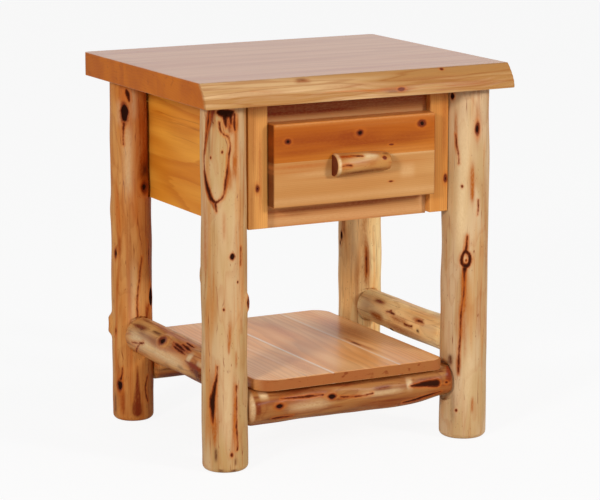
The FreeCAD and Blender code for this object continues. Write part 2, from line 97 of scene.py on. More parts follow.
# Shader sheets: a Wire is a socket that adds Math nodes when it stands in an expression
class Wire:
    def __init__(self, sheet, socket):
        self.sheet = sheet
        self.socket = socket

    def __add__(self, other):
        return self.sheet.calc("ADD", self, other)

    def __sub__(self, other):
        return self.sheet.calc("SUBTRACT", self, other)

    def __rsub__(self, other):
        return self.sheet.calc("SUBTRACT", other, self)

    def __mul__(self, other):
        return self.sheet.calc("MULTIPLY", self, other)

    def __truediv__(self, other):
        return self.sheet.calc("DIVIDE", self, other)

    def __pow__(self, other):
        return self.sheet.calc("POWER", self, other)

    __radd__ = __add__


class Sheet:
    def __init__(self, block):
        self.block = block
        block.use_nodes = True
        self.tree = block.node_tree
        self.tree.nodes.clear()

    # Adds one node: its settings first, then the values or links of its sockets
    def node(self, kind, settings=None, values=(), output=0):
        made = self.tree.nodes.new(kind)
        for key, value in (settings or {}).items():
            setattr(made, key, value)
        for key, value in values.items() if isinstance(values, dict) else enumerate(values):
            if isinstance(value, Wire):
                self.tree.links.new(value.socket, made.inputs[key])
            else:
                made.inputs[key].default_value = value
        return Wire(self, made.outputs[output]) if made.outputs else None

    def calc(self, operation, *values):
        return self.node("ShaderNodeMath", {"operation": operation}, values)

    def attribute(self, name, output="Fac"):
        return self.node("ShaderNodeAttribute", {"attribute_name": name}, output=output)

    def ray(self, kind):
        return self.node("ShaderNodeLightPath", output=f"Is {kind} Ray")

    def noise(self, vector, shares, detail=2.0, distortion=0.0):
        spot = self.node("ShaderNodeVectorMath", {"operation": "MULTIPLY"}, (vector, shares))
        values = {"Vector": spot, "Scale": 1.0, "Detail": detail, "Distortion": distortion}
        return self.node("ShaderNodeTexNoise", {}, values)

    # 0 at the first level of a value, 1 at the second and smooth between
    def step(self, value, none, full):
        values = {"Value": value, "From Min": none, "From Max": full}
        return self.node("ShaderNodeMapRange", {"interpolation_type": "SMOOTHSTEP"}, values)

    def mix(self, share, first, second):
        return self.node("ShaderNodeMix", {"data_type": "RGBA"}, {0: share, 6: first, 7: second}, 2)

    # Lays a colour over a tone: none at the first level of a value, the whole share of it at the second
    def wash(self, tone, colour, share, value, none, full):
        return self.mix(self.step(value, none, full) * share, tone, colour)

    # Late wood: it deepens slowly over each ring of a count and ends sharply
    def lateWood(self, rings, start):
        part = self.calc("FRACT", rings)
        return self.step(part, start, 0.9) * self.step(part, 1.0, 0.9)

    def bump(self, height, strength, distance):
        return self.node("ShaderNodeBump", {}, {"Strength": strength, "Distance": distance, "Height": height})

    def finish(self, surface, output="ShaderNodeOutputMaterial"):
        self.node(output, {}, {"Surface": surface})
        return self.block


# Pale seamless floor, which the camera sees nearly white and which keeps the shadow
def makeFloor():
    half, low = studio["floorHalf"], -studio["floorDrop"]
    mesh = bpy.data.meshes.new("floor")
    corners = [(x * half, y * half, low) for x, y in ((-1, -1), (1, -1), (1, 1), (-1, 1))]
    mesh.from_pydata(corners, [], [(0, 1, 2, 3)])
    sheet = Sheet(bpy.data.materials.new("palePaperFloor"))
    shine = (sheet.ray("Glossy") + sheet.ray("Transmission")) * studio["floorShine"]
    seen = sheet.ray("Camera") * studio["floorWhite"] + shine
    plain = sheet.node("ShaderNodeBsdfDiffuse", {}, {"Color": darker(white, studio["floorPaint"])})
    glow = sheet.node("ShaderNodeEmission", {}, {"Color": white, "Strength": 1.0})
    mesh.materials.append(sheet.finish(sheet.node("ShaderNodeMixShader", {}, {0: seen, 1: plain, 2: glow})))
    addObject("floor", mesh)


# Even grey-white surroundings for the light, plain white for the camera and for mirror-like rays
def makeWorld():
    sheet = Sheet(bpy.data.worlds.new("studio"))
    direct = sheet.ray("Camera") + sheet.ray("Glossy") + sheet.ray("Transmission")
    strength = direct * (1.0 - studio["ambient"]) + studio["ambient"]
    back = sheet.node("ShaderNodeBackground", {}, {"Color": white, "Strength": strength})
    bpy.context.scene.world = sheet.finish(back, "ShaderNodeOutputWorld")


def makeLamps():
    for name, lamp in studio["lamps"].items():
        data = bpy.data.lights.new(name, "AREA")
        data.size = studio["lampSide"]
        data.energy = lamp["power"]
        made = addObject(name, data)
        made.location = lamp["place"]
        x, y, z = np.array(studio["aim"]) - np.array(lamp["place"])
        made.rotation_euler = (math.atan2(math.hypot(x, y), -z), 0.0, math.atan2(-x, y))


def makeCamera():
    data = bpy.data.cameras.new("camera")
    data.lens = view["lens"]
    data.sensor_width = view["sensor"]
    camera = addObject("camera", data)
    camera.location = view["place"]
    camera.rotation_euler = (math.radians(90 - view["pitchDown"]), 0.0, math.radians(-view["heading"]))
    bpy.context.scene.camera = camera


makeFloor()
makeWorld()
makeLamps()
makeCamera()
bpy.context.scene.view_settings.view_transform = "Standard"
print("studio ready")


# Wood finishes

tones = {
    "cream": paint(226, 194, 146),
    "orange": paint(196, 102, 28),
    "rust": paint(126, 46, 12),
    "umber": paint(92, 36, 12),
    "black": paint(40, 14, 5),
}
varnish = {
    "coat": 0.04,
    "coatRough": 0.2,
    "shine": 0.08,
    "dryRough": 0.95,  # roughness of open dry wood
    "relief": 0.35,
    "reliefDepth": 0.4 * mm,
}


# A look is another look with settings of its own, of which those with three numbers are colours
def lookOf(base, **own):
    painted = {name: paint(*value) for name, value in own.items() if np.size(value) == 3}
    return {**base, **own, **painted}


peeled = {"marginShare": 0.6, "streakShare": 0.5, "ringShare": 0.2, "rough": 0.42}
planed = {"fibre": 0.12, "ringShare": 0.25, "rough": 0.4}
looks = {
    "paleLog": lookOf(
        peeled, light=(204, 166, 120), dark=(188, 148, 94), margin=(200, 128, 60), streakTone=(172, 92, 30),
    ),
    "warmLog": lookOf(
        peeled, light=(208, 146, 80), dark=(194, 118, 50), margin=(186, 94, 30), streakTone=(154, 70, 18),
        marginShare=0.7, ringShare=0.22,
    ),
    "roughLog": lookOf(
        peeled, light=(216, 160, 94), dark=(194, 120, 56), margin=(168, 78, 26), streakTone=(118, 46, 14),
        marginShare=0.85, streakShare=0.8, ringShare=0.3, rough=0.46,
    ),
    "pullLog": lookOf(
        peeled, light=(196, 140, 76), dark=(178, 110, 48), margin=(188, 98, 30), streakTone=(160, 66, 14),
        endTone=(96, 34, 10), streakShare=0.6, rough=0.4,
    ),
    "topBoards": lookOf(
        planed, light=(204, 140, 94), dark=(188, 116, 70), ringTone=(162, 92, 52), streakTone=(164, 96, 54),
        endTone=(196, 106, 12), endShade=(150, 60, 6), edgeTone=(214, 172, 122), edgeDark=(180, 128, 72),
        edgeLine=(150, 80, 26), ringShare=0.2, ringPitch=5 * mm, pith=(0.0, -0.12), ringWander=22 * mm,
        streakFrom=0.66, fibre=0.14, contours=0.4, checks=0.25, rough=0.34, gloss=0.4,
    ),
    "shelfBoards": lookOf(
        planed, light=(252, 196, 132), dark=(240, 164, 86), ringTone=(196, 118, 62),
        streakTone=(196, 108, 42), endTone=(164, 94, 48), edgeTone=(255, 240, 220), ringShare=0.28,
        ringPitch=4.2 * mm, pith=(0.0, -0.1), ringWander=20 * mm, streakFrom=0.68, checks=0.7, rough=0.36,
        gloss=0.22,
    ),
    "stileBoards": lookOf(
        planed, light=(224, 158, 84), dark=(206, 132, 58), ringTone=(166, 92, 38), streakTone=(162, 84, 34),
        endTone=(130, 68, 30), edgeTone=(214, 170, 116), ringPitch=3 * mm, pith=(0.02, -0.09),
        ringWander=10 * mm, streakFrom=0.68, fibre=0.14,
    ),
    # Its streak tone also paints the slab's shadow as a dark band along the top rail
    "railBoards": lookOf(
        planed, light=(200, 142, 84), dark=(190, 118, 62), ringTone=(170, 90, 38), streakTone=(140, 58, 16),
        endTone=(130, 68, 30), edgeTone=(212, 160, 106), ringPitch=3.2 * mm, pith=(0.03, -0.08),
        ringWander=10 * mm, streakFrom=0.66, fibre=0.14,
    ),
    "upperFront": lookOf(
        planed, light=(190, 110, 34), dark=(176, 90, 20), ringTone=(146, 62, 8), streakTone=(150, 66, 14),
        endTone=(96, 38, 12), edgeTone=(206, 134, 66), ringShare=0.16, ringPitch=6 * mm, pith=(0.01, -0.05),
        ringWander=20 * mm, streakFrom=0.62, fibre=0.1, rough=0.38,
    ),
    "lowerFront": lookOf(
        planed, light=(206, 152, 92), dark=(192, 132, 72), ringTone=(176, 108, 48),
        streakTone=(184, 108, 50), endTone=(96, 38, 12), edgeTone=(220, 172, 118), ringShare=0.2,
        ringPitch=3 * mm, pith=(0.0, -0.16), ringWander=8 * mm, streakFrom=0.7, rough=0.38,
    ),
    "sidePanel": lookOf(
        planed, light=(236, 160, 58), dark=(214, 128, 34), ringTone=(190, 98, 16), streakTone=(164, 82, 22),
        axes="yzx", ringShare=0.5, ringPitch=11 * mm, pith=(0.44, 0.15), ringWander=60 * mm, streakFrom=0.6,
        fibre=0.1,
    ),
    "boxBoards": lookOf(
        planed, light=(224, 190, 140), dark=(210, 170, 118), ringTone=(196, 146, 88),
        streakTone=(196, 140, 80), axes="yzx", ringShare=0.4, ringPitch=5 * mm, pith=(0.42, 0.1),
        ringWander=14 * mm, streakFrom=0.7, rough=0.55,
    ),
}
looks["crossBoards"] = lookOf(looks["boxBoards"], axes="xzy")
# A brighter copy of paleLog for the rear right leg and the right side log, which stand in the case's shade:
# painted light
looks["paleLogPaintedLit"] = lookOf(
    looks["paleLog"], light=(255, 226, 164), dark=(252, 204, 134), margin=(242, 168, 88),
)
looks["creamLog"] = lookOf(
    looks["paleLog"], light=(210, 176, 134), dark=(196, 158, 108), margin=(200, 136, 74),
)
# A darker copy of roughLog for the front stretcher: partly its own darker wood, partly painted shade
looks["roughLogDarkerAndShaded"] = lookOf(
    looks["roughLog"], light=(172, 116, 62), dark=(154, 86, 36), margin=(142, 60, 18),
)


# Peeled log: soft zones and orange margins that run with the grain, long streaks, contour lines where the
# skin cuts the growth rings, and thin hair lines where a slow noise passes its middle. Returns the tone,
# streaks and relief.
def logTone(sheet, look, grain, axes):
    zone = sheet.noise(grain, (6.0, 32.0, 32.0), 2.0, 0.4)
    margin = sheet.noise(grain, (4.2, 46.0, 46.0), 2.0, 0.6)
    streaks = sheet.noise(grain, (7.0, 170.0, 170.0), 3.0, 0.4)
    fine = sheet.noise(grain, (14.0, 330.0, 330.0), 3.0, 0.2)
    hair = sheet.noise(grain, (6.0, 90.0, 90.0), 1.0, 0.4)
    speck = sheet.noise(grain, (150.0, 560.0, 560.0), 1.0)
    radius = (axes[1] * axes[1] + axes[2] * axes[2]) ** 0.5 + (zone - 0.5) * (5.0 * mm)
    late = sheet.lateWood(radius / (1.6 * mm) + fine * 0.3, 0.45)
    line = sheet.step(sheet.calc("ABSOLUTE", hair - 0.5), 0.013, 0.003) * sheet.step(streaks, 0.5, 0.6)
    tone = sheet.mix(sheet.step(zone, 0.36, 0.64), look["light"], look["dark"])
    tone = sheet.wash(tone, look["margin"], look["marginShare"], margin, 0.5, 0.7)
    tone = sheet.mix(late * look["ringShare"], tone, look["streakTone"])
    tone = sheet.wash(tone, look["streakTone"], look["streakShare"], streaks, 0.52, 0.78)
    tone = sheet.wash(tone, look["streakTone"], 0.25, fine, 0.55, 0.8)
    tone = sheet.wash(tone, look["light"], 0.3, fine, 0.5, 0.25)
    tone = sheet.mix(line * 0.7, tone, tones["rust"])
    tone = sheet.wash(tone, tones["rust"], 0.6, speck, 0.7, 0.78)
    return tone, streaks, fine * 0.25 + late * 0.2 - line * 0.5


# Planed board: growth rings are distance from the pith, bent by slow noise, with streaks and fibres over
# them. The ends have smooth end grain with small checks, and a live edge has wavy contour lines.
def boardTone(sheet, look, grain, axes):
    drift = sheet.noise(grain, (2.4, 22.0, 22.0))
    fleck = sheet.noise(grain, (9.0, 260.0, 260.0), 3.0, 0.4)
    fibre = sheet.noise(grain, (22.0, 1500.0, 1500.0))
    streaks = sheet.noise(grain, (4.2, 120.0, 120.0), 3.0, 0.8)
    wave = sheet.noise(grain, (2.2, 12.0, 12.0), 1.0, 0.6)
    across, deep = axes[1] - look["pith"][0], axes[2] - look["pith"][1]
    radius = (across * across + deep * deep) ** 0.5 + (wave - 0.5) * look["ringWander"]
    late = sheet.lateWood(radius / look["ringPitch"] + fleck * 0.4, 0.25)
    shade = darker(look["dark"], 0.45)
    tone = sheet.mix(sheet.step(drift, 0.32, 0.68), look["light"], look["dark"])
    tone = sheet.mix(late * look["ringShare"], tone, look["ringTone"])
    tone = sheet.wash(tone, look["streakTone"], 0.6, streaks, look["streakFrom"], look["streakFrom"] + 0.14)
    tone = sheet.wash(tone, shade, look["fibre"], fibre, 0.5, 0.8)
    tone = sheet.wash(tone, shade, look["fibre"], fleck, 0.62, 0.8)
    if "endTone" in look:
        share = sheet.step(drift, 0.3, 0.7) * 0.35 + late * 0.1
        end = sheet.mix(share, look["endTone"], look.get("endShade", shade))
        if "checks" in look:
            spot = sheet.noise(grain, (20.0, 34.0, 70.0), 2.0, 1.4)
            end = sheet.wash(end, tones["rust"], look["checks"], spot, 0.6, 0.7)
        tone = sheet.mix(sheet.attribute("end"), tone, end)
    if "contours" in look:
        depth = sheet.noise(grain, (2.6, 18.0, 62.0), 1.0, 0.3)
        line = sheet.calc("ABSOLUTE", sheet.calc("FRACT", depth * 7.0 + fleck * 0.5) - 0.5)
        edge = sheet.mix(sheet.step(depth, 0.4, 0.62), look["edgeTone"], look["edgeDark"])
        edge = sheet.wash(edge, look["edgeLine"], look["contours"], line, 0.2, 0.0)
        edge = sheet.wash(edge, tones["orange"], 0.5, streaks, 0.6, 0.76)
        tone = sheet.mix(sheet.attribute("skin"), tone, edge)
    return tone, streaks, fibre * 0.3 + late * 0.2


# Marks over the wood. The field knot is distance over the knot's size, and crack is distance from a crack's
# side. The streak, stain and pale fields lay wood colour, and at some marks painted shade and painted
# highlights. Returns the tone, and where the wood is open and dry.
def markTone(sheet, look, grain, tone, streaks):
    blot = sheet.noise(grain, (180.0, 420.0, 420.0)) - 0.5
    lump = sheet.noise(grain, (60.0, 120.0, 120.0)) - 0.5
    lights = look.get("edgeTone", tones["cream"])
    # Pale, warm and umber patches: wood colour, and at some marks painted highlights and painted shade
    patches = (("sap", 0.5, lights), ("warm", 0.5, look["streakTone"]), ("stain", 0.5, tones["umber"]))
    for field, least, colour in (*patches, ("scar", 0.4, tones["rust"])):
        tone = sheet.mix(sheet.attribute(field) * (streaks + blot + least), tone, colour)
    knot = sheet.attribute("knot") + lump * 0.8 + blot * 0.4
    core = sheet.attribute("core") * 0.9
    tone = sheet.wash(tone, tones["orange"], 0.4, knot + (0.5 - streaks) * 1.2, 2.4, 1.0)
    tone = sheet.wash(tone, tones["rust"], 0.7, knot, 1.4, 0.9)
    body = sheet.mix(sheet.calc("SINE", knot * 20.0) * 0.3 + 0.5, tones["rust"], tones["umber"])
    tone = sheet.wash(tone, body, 0.95, knot, 1.05, 0.75)
    pit = sheet.step(knot, core + 0.2, core) * sheet.step(core, 0.018, 0.09)
    tone = sheet.mix(pit, tone, tones["black"])
    crack = sheet.attribute("crack") + blot * (2.4 * mm) + lump * (4.4 * mm)
    flame = crack + (0.5 - streaks) * (9.0 * mm)
    tone = sheet.wash(tone, tones["orange"], 0.55, flame, 6.0 * mm, 0.6 * mm)
    tone = sheet.wash(tone, tones["rust"], 0.8, crack, 2.2 * mm, 0.0)
    gash = sheet.step(crack, 0.6 * mm, -0.6 * mm)
    deep = sheet.mix(sheet.step(crack, -2.4 * mm, -0.4 * mm), tones["black"], tones["umber"])
    tone = sheet.mix(gash * 0.95, tone, deep)
    return tone, sheet.calc("MAXIMUM", gash, pit)


# One finish: grain runs along the first of three grain coordinates, read from the piece or from the
# object's axes
def makeWood(name, look):
    sheet = Sheet(bpy.data.materials.new(name))
    packed, isLog = "axes" in look, "margin" in look
    spot = sheet.node("ShaderNodeTexCoord", output="Object") if packed else sheet.attribute("grain", "Vector")
    order = ["xyz".index(axis) for axis in look["axes"]] if packed else range(3)
    axes = [sheet.node("ShaderNodeSeparateXYZ", {}, (spot,), number) for number in order]
    grain = sheet.node("ShaderNodeCombineXYZ", {}, axes) if packed else spot
    tone, streaks, relief = (logTone if isLog else boardTone)(sheet, look, grain, axes)
    gloss, rough = look.get("gloss", varnish["coat"]), look["rough"]
    values = {"Roughness": rough, "Coat Weight": gloss}
    values.update({"Coat Roughness": varnish["coatRough"], "Specular IOR Level": varnish["shine"]})
    if not packed:
        bare = sheet.attribute("end")
        if isLog and "endTone" in look:
            tone = sheet.mix(sheet.step(bare, 0.8, 0.98), tone, look["endTone"])
        if "contours" in look:
            bare = sheet.calc("MAXIMUM", bare, sheet.attribute("skin"))
        tone, dry = markTone(sheet, look, grain, tone, streaks)
        relief = relief - dry * 1.5
        values["Roughness"] = dry * (varnish["dryRough"] - rough) + rough
        values["Coat Weight"] = (1.0 - sheet.calc("MAXIMUM", dry, bare)) * gloss
    values["Base Color"] = tone
    values["Normal"] = sheet.bump(relief, varnish["relief"], varnish["reliefDepth"])
    return sheet.finish(sheet.node("ShaderNodeBsdfPrincipled", {}, values))


metals = {
    "slideZinc": {"tone": paint(196, 200, 204), "rough": 0.34, "scale": 60.0},
    "polishedBalls": {"tone": paint(214, 216, 220), "rough": 0.12, "scale": 400.0},
    "yellowZinc": {"tone": paint(206, 184, 120), "rough": 0.32, "scale": 300.0},
}


# Plated steel: its tone and gloss vary a little over slow and fine noise
def makeMetal(name, look):
    sheet = Sheet(bpy.data.materials.new(name))
    spot = sheet.node("ShaderNodeTexCoord", output="Object")
    cloud = sheet.noise(spot, (look["scale"],) * 3, 3.0)
    scratch = sheet.noise(spot, (900.0, 30.0, 900.0))
    tone = sheet.mix(cloud, look["tone"], darker(look["tone"], 0.72))
    values = {"Base Color": tone, "Metallic": 1.0, "Roughness": (cloud - 0.5) * 0.2 + look["rough"]}
    values["Normal"] = sheet.bump(scratch, 0.15, 0.1 * mm)
    return sheet.finish(sheet.node("ShaderNodeBsdfPrincipled", {}, values))


woods = {name: makeWood(name, look) for name, look in looks.items()}
steels = {name: makeMetal(name, look) for name, look in metals.items()}
print("finishes mixed:", len(woods) + len(steels))


# Marks in the wood. Every mark lies at a place along the grain and a place across it: degrees about a log,
# or millimetres on a board. Knots, cracks and scars are distances, which the finish cuts at a level, and
# the other fields are shares of a tone. Knots: along, across, half width, half height, collar, sink, black
# core. Swells: along, across, half width, half height, lift. Streaks, stains and lights: along, across,
# half width, half height, strength; besides wood colour, some streaks and stains are painted shade and
# some lights are painted highlights. Cracks: depth, and a chain of along, across, half width; one is a
# painted shade line. Scars: such chains alone.

# The streak, stain and pale fields hold wood colour, and at some marks painted shade and painted highlights
farAway = {"knot": 9.0, "core": 0.0, "crack": 0.03, "scar": 0.0, "warm": 0.0, "stain": 0.0, "sap": 0.0}
patches = {"streaks": "warm", "stains": "stain", "lights": "sap"}
grainShift = 1.7  # metres of grain from one seed to the next
markForm = {
    "collarAt": 1.1,
    "collarWide": 0.6,
    "sinkWide": 0.8,
    "swerve": 0.75,
    "swerveWide": 1.8,
    "crackEdge": 1.6 * mm,
    "scarEdge": 3.0 * mm,
}


# Distance from each point to a chain of runs whose half width tapers between its points. Corners are cut
# twice first.
def chainDistance(up, acrossOf, unit, chain):
    points = np.array(chain, float)
    for _ in range(2 if len(points) > 2 else 0):
        near = points[:-1] * 0.75 + points[1:] * 0.25
        far = points[:-1] * 0.25 + points[1:] * 0.75
        points = np.concatenate([points[:1], np.stack([near, far], 1).reshape(-1, 3), points[-1:]])
    middle = points[0, 1]
    across = acrossOf(middle)
    nearest = np.full(up.shape, 1.0)
    for (a0, c0, h0), (a1, c1, h1) in zip(points, points[1:]):
        startUp, startAcross = a0 * mm, (c0 - middle) * unit
        runUp, runAcross = (a1 - a0) * mm, (c1 - c0) * unit
        square = runUp**2 + runAcross**2
        share = np.clip(((up - startUp) * runUp + (across - startAcross) * runAcross) / square, 0, 1)
        away = np.hypot(up - startUp - share * runUp, across - startAcross - share * runAcross)
        nearest = np.minimum(nearest, away - (h0 + share * (h1 - h0)) * mm)
    return nearest


# Reads a piece's marks: gives how far each point is pushed out, how far its grain swerves, and the finish's
# fields. A point of 2 makes a knot round, and a lower one makes it pointed along the grain.
def readMarks(spec, up, acrossOf, unit, point=2.0):
    fields = {name: np.full(up.shape, value) for name, value in farAway.items()}
    push, swerve = np.zeros(up.shape), np.zeros(up.shape)
    for at, across, wide, tall, lift, sink, core in spec.get("knots", ()):
        aside, along = acrossOf(across), up - at * mm
        away = (np.abs(aside / (wide * mm)) ** point + np.abs(along / (tall * mm)) ** point) ** (1 / point)
        nearer = away < fields["knot"]
        fields["knot"] = np.where(nearer, away, fields["knot"])
        fields["core"] = np.where(nearer, core, fields["core"])
        push += lift * mm * np.exp(-(((away - markForm["collarAt"]) / markForm["collarWide"]) ** 2))
        push -= sink * mm * np.exp(-((away / markForm["sinkWide"]) ** 4))
        flow = np.hypot(aside / (wide * mm), along / (2.0 * tall * mm))
        swerve -= aside * markForm["swerve"] * np.exp(-((flow / markForm["swerveWide"]) ** 2))
    for at, across, wide, tall, lift in spec.get("swells", ()):
        away = np.hypot(acrossOf(across) / (wide * mm), (up - at * mm) / (tall * mm))
        push += lift * mm * np.exp(-(away**2))
    for kind, field in patches.items():
        for at, across, wide, tall, strength in spec.get(kind, ()):
            aside, along = acrossOf(across) / (wide * mm), (up - at * mm) / (tall * mm)
            fields[field] += strength * np.exp(-(aside**2) - along**4)
        fields[field] = np.clip(fields[field], 0, 1)
    for depth, chain in spec.get("cracks", ()):
        away = chainDistance(up, acrossOf, unit, chain)
        fields["crack"] = np.minimum(fields["crack"], away)
        push -= depth * mm * np.clip(0.5 - away / markForm["crackEdge"], 0, 1)
    for chain in spec.get("scars", ()):
        away = chainDistance(up, acrossOf, unit, chain)
        fields["scar"] = np.maximum(fields["scar"], np.clip(0.5 - away / markForm["scarEdge"], 0, 1))
    return push, swerve, fields


# Mesh of a closed tube of rows with a pole at each end, with its fields and its grain as point attributes
def addPiece(name, rows, poles, fields, grain, inward, look):
    count, around = rows.shape[:2]
    first = np.arange(count - 1)[:, None] * around
    here = np.arange(around)[None, :]
    after = (here + 1) % around
    loops = (first + here, first + after, first + around + after, first + around + here)
    quads = np.stack(loops, -1).reshape(-1, 4)
    startPole, lastRow = count * around, (count - 1) * around
    startFan = np.stack([after[0], here[0], np.full(around, startPole)], -1)
    endFan = np.stack([lastRow + here[0], lastRow + after[0], np.full(around, startPole + 1)], -1)
    fans = np.concatenate([startFan, endFan])
    if inward:
        quads, fans = quads[:, ::-1], fans[:, ::-1]
    corners = np.concatenate([rows.reshape(-1, 3), poles])
    mesh = bpy.data.meshes.new(name)
    mesh.vertices.add(len(corners))
    mesh.vertices.foreach_set("co", corners.astype(np.float32).ravel())
    mesh.loops.add(quads.size + fans.size)
    mesh.loops.foreach_set("vertex_index", np.concatenate([quads.ravel(), fans.ravel()]).astype(np.int32))
    starts = np.concatenate([np.arange(len(quads)) * 4, quads.size + np.arange(len(fans)) * 3])
    mesh.polygons.add(len(starts))
    mesh.polygons.foreach_set("loop_start", starts.astype(np.int32))
    mesh.update(calc_edges=True)
    mesh.shade_smooth()
    mesh.set_sharp_from_angle(angle=math.radians(60))
    for key, values in fields.items():
        flat = np.concatenate([values.ravel(), values[0, :1], values[-1, :1]])
        mesh.attributes.new(key, "FLOAT", "POINT").data.foreach_set("value", flat.astype(np.float32))
    flat = np.concatenate([grain.reshape(-1, 3), grain[0, :1], grain[-1, :1]])
    directions = mesh.attributes.new("grain", "FLOAT_VECTOR", "POINT").data
    directions.foreach_set("vector", flat.astype(np.float32).ravel())
    mesh.materials.append(woods[look])
    return addObject(name, mesh)


def settle(piece, node, body):
    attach(piece, body)
    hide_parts(node)


# Logs

logGrid = {
    "row": 1.7 * mm,
    "around": 1.45 * mm,
    "pullRow": 0.9 * mm,
    "pin": 1.5 * mm,  # radius of the innermost ring of an end
    "pullPin": 1.0 * mm,
    "legCap": (12, 10),  # rings in the foot and in the top
    "tenonCap": 6,
    "tenonRows": 8,
    "shoulderRings": 4,
    "pullCap": 10,
}
peel = {
    "orders": (1, 2, 3, 4, 5, 7, 9, 12),
    "lengths": (0.10, 0.30),
    "sizes": (0.5, 1.0),
    "fade": 0.35,
    "bend": 0.8,
    "bendLength": 2.3,
    "waves": 0.9,  # mm, where a log has no height of its own
    "knotPoint": 1.7,
}


# Slow waves and long shallow knife flats on a peeled log: sums of sines that close round the log
def peelWaves(up, turn, seed):
    draw = np.random.default_rng(seed)
    waves = np.zeros(up.shape)
    for order in peel["orders"]:
        phase = draw.uniform(0, 2 * math.pi, 3)
        length = draw.uniform(*peel["lengths"])
        size = draw.uniform(*peel["sizes"]) / (1 + peel["fade"] * order)
        bend = peel["bend"] * np.sin(2 * math.pi * up / (peel["bendLength"] * length) + phase[2])
        waves += size * np.sin(order * turn + phase[0] + bend) * np.sin(2 * math.pi * up / length + phase[1])
    return waves


# A log: a profile of (place along, radius) turned about its axis, waves, marks and knots pushing its skin
# in and out
def makeLog(name, spec, profile, bodyWeight, start, along, face, cutters):
    start, along, face = np.array(start), np.array(along, float), np.array(face, float)
    side = np.cross(along, face)
    usual, sense = spec["radius"], spec.get("sense", 1)
    around = int(2 * math.pi * usual / logGrid["around"])
    turn = np.linspace(-math.pi, math.pi, around, endpoint=False)
    up, angle = np.meshgrid(profile[:, 0], turn, indexing="ij")
    radius, weight = profile[:, 1:2], np.repeat(bodyWeight[:, None], around, 1)

    def acrossOf(degrees):
        gap = angle * sense - math.radians(degrees)
        return (np.mod(gap + math.pi, 2 * math.pi) - math.pi) * usual

    push, swerve, fields = readMarks(spec, up, acrossOf, usual * math.pi / 180, peel["knotPoint"])
    push = push + spec.get("waves", peel["waves"]) * mm * peelWaves(up, angle, spec["seed"])
    skin = radius + push * weight
    fields["end"] = 1.0 - weight
    outwards = (skin * np.cos(angle))[..., None] * face
    rows = start + up[..., None] * along + outwards + (skin * np.sin(angle))[..., None] * side
    for cutter in cutters:
        rows = cutter(rows)
    bent = angle + sense * swerve / usual
    grain = np.stack([up + spec["seed"] * grainShift, skin * np.cos(bent), skin * np.sin(bent)], -1)
    poles = np.array([start + profile[i, 0] * along for i in (0, -1)])
    return addPiece(name, rows, poles, fields, grain, False, spec["look"])


# A log's radius at places along it: a smooth curve through shares of its usual radius
def smoothGirth(spec, length, places):
    at, share = np.array(spec["girth"]).T
    return np.polyval(np.polyfit(at * length, share * spec["radius"], 3), places)


legShape = {
    "height": 619 * mm,
    "footRound": 9 * mm,
    "centreX": 233 * mm,
    "centreY": 187.6 * mm,
    "notchX": 207.3 * mm,
    "notchY": 185.3 * mm,
    "notchFloor": 405.5 * mm,
    "notchSharp": 0.05 * mm,
    "grooveWide": 5 * mm,
    "grooveDeep": 8 * mm,
    "spotGap": 1 * mm,
    "spotEdge": 0.6 * mm,
    "spotReach": 0.1,
}
railShape = {"tenonRadius": 16 * mm, "tenonLength": 43 * mm, "shoulderRound": 11 * mm}
pullShape = {"lip": 1.6 * mm, "fade": 3 * mm, "smoothing": 7}

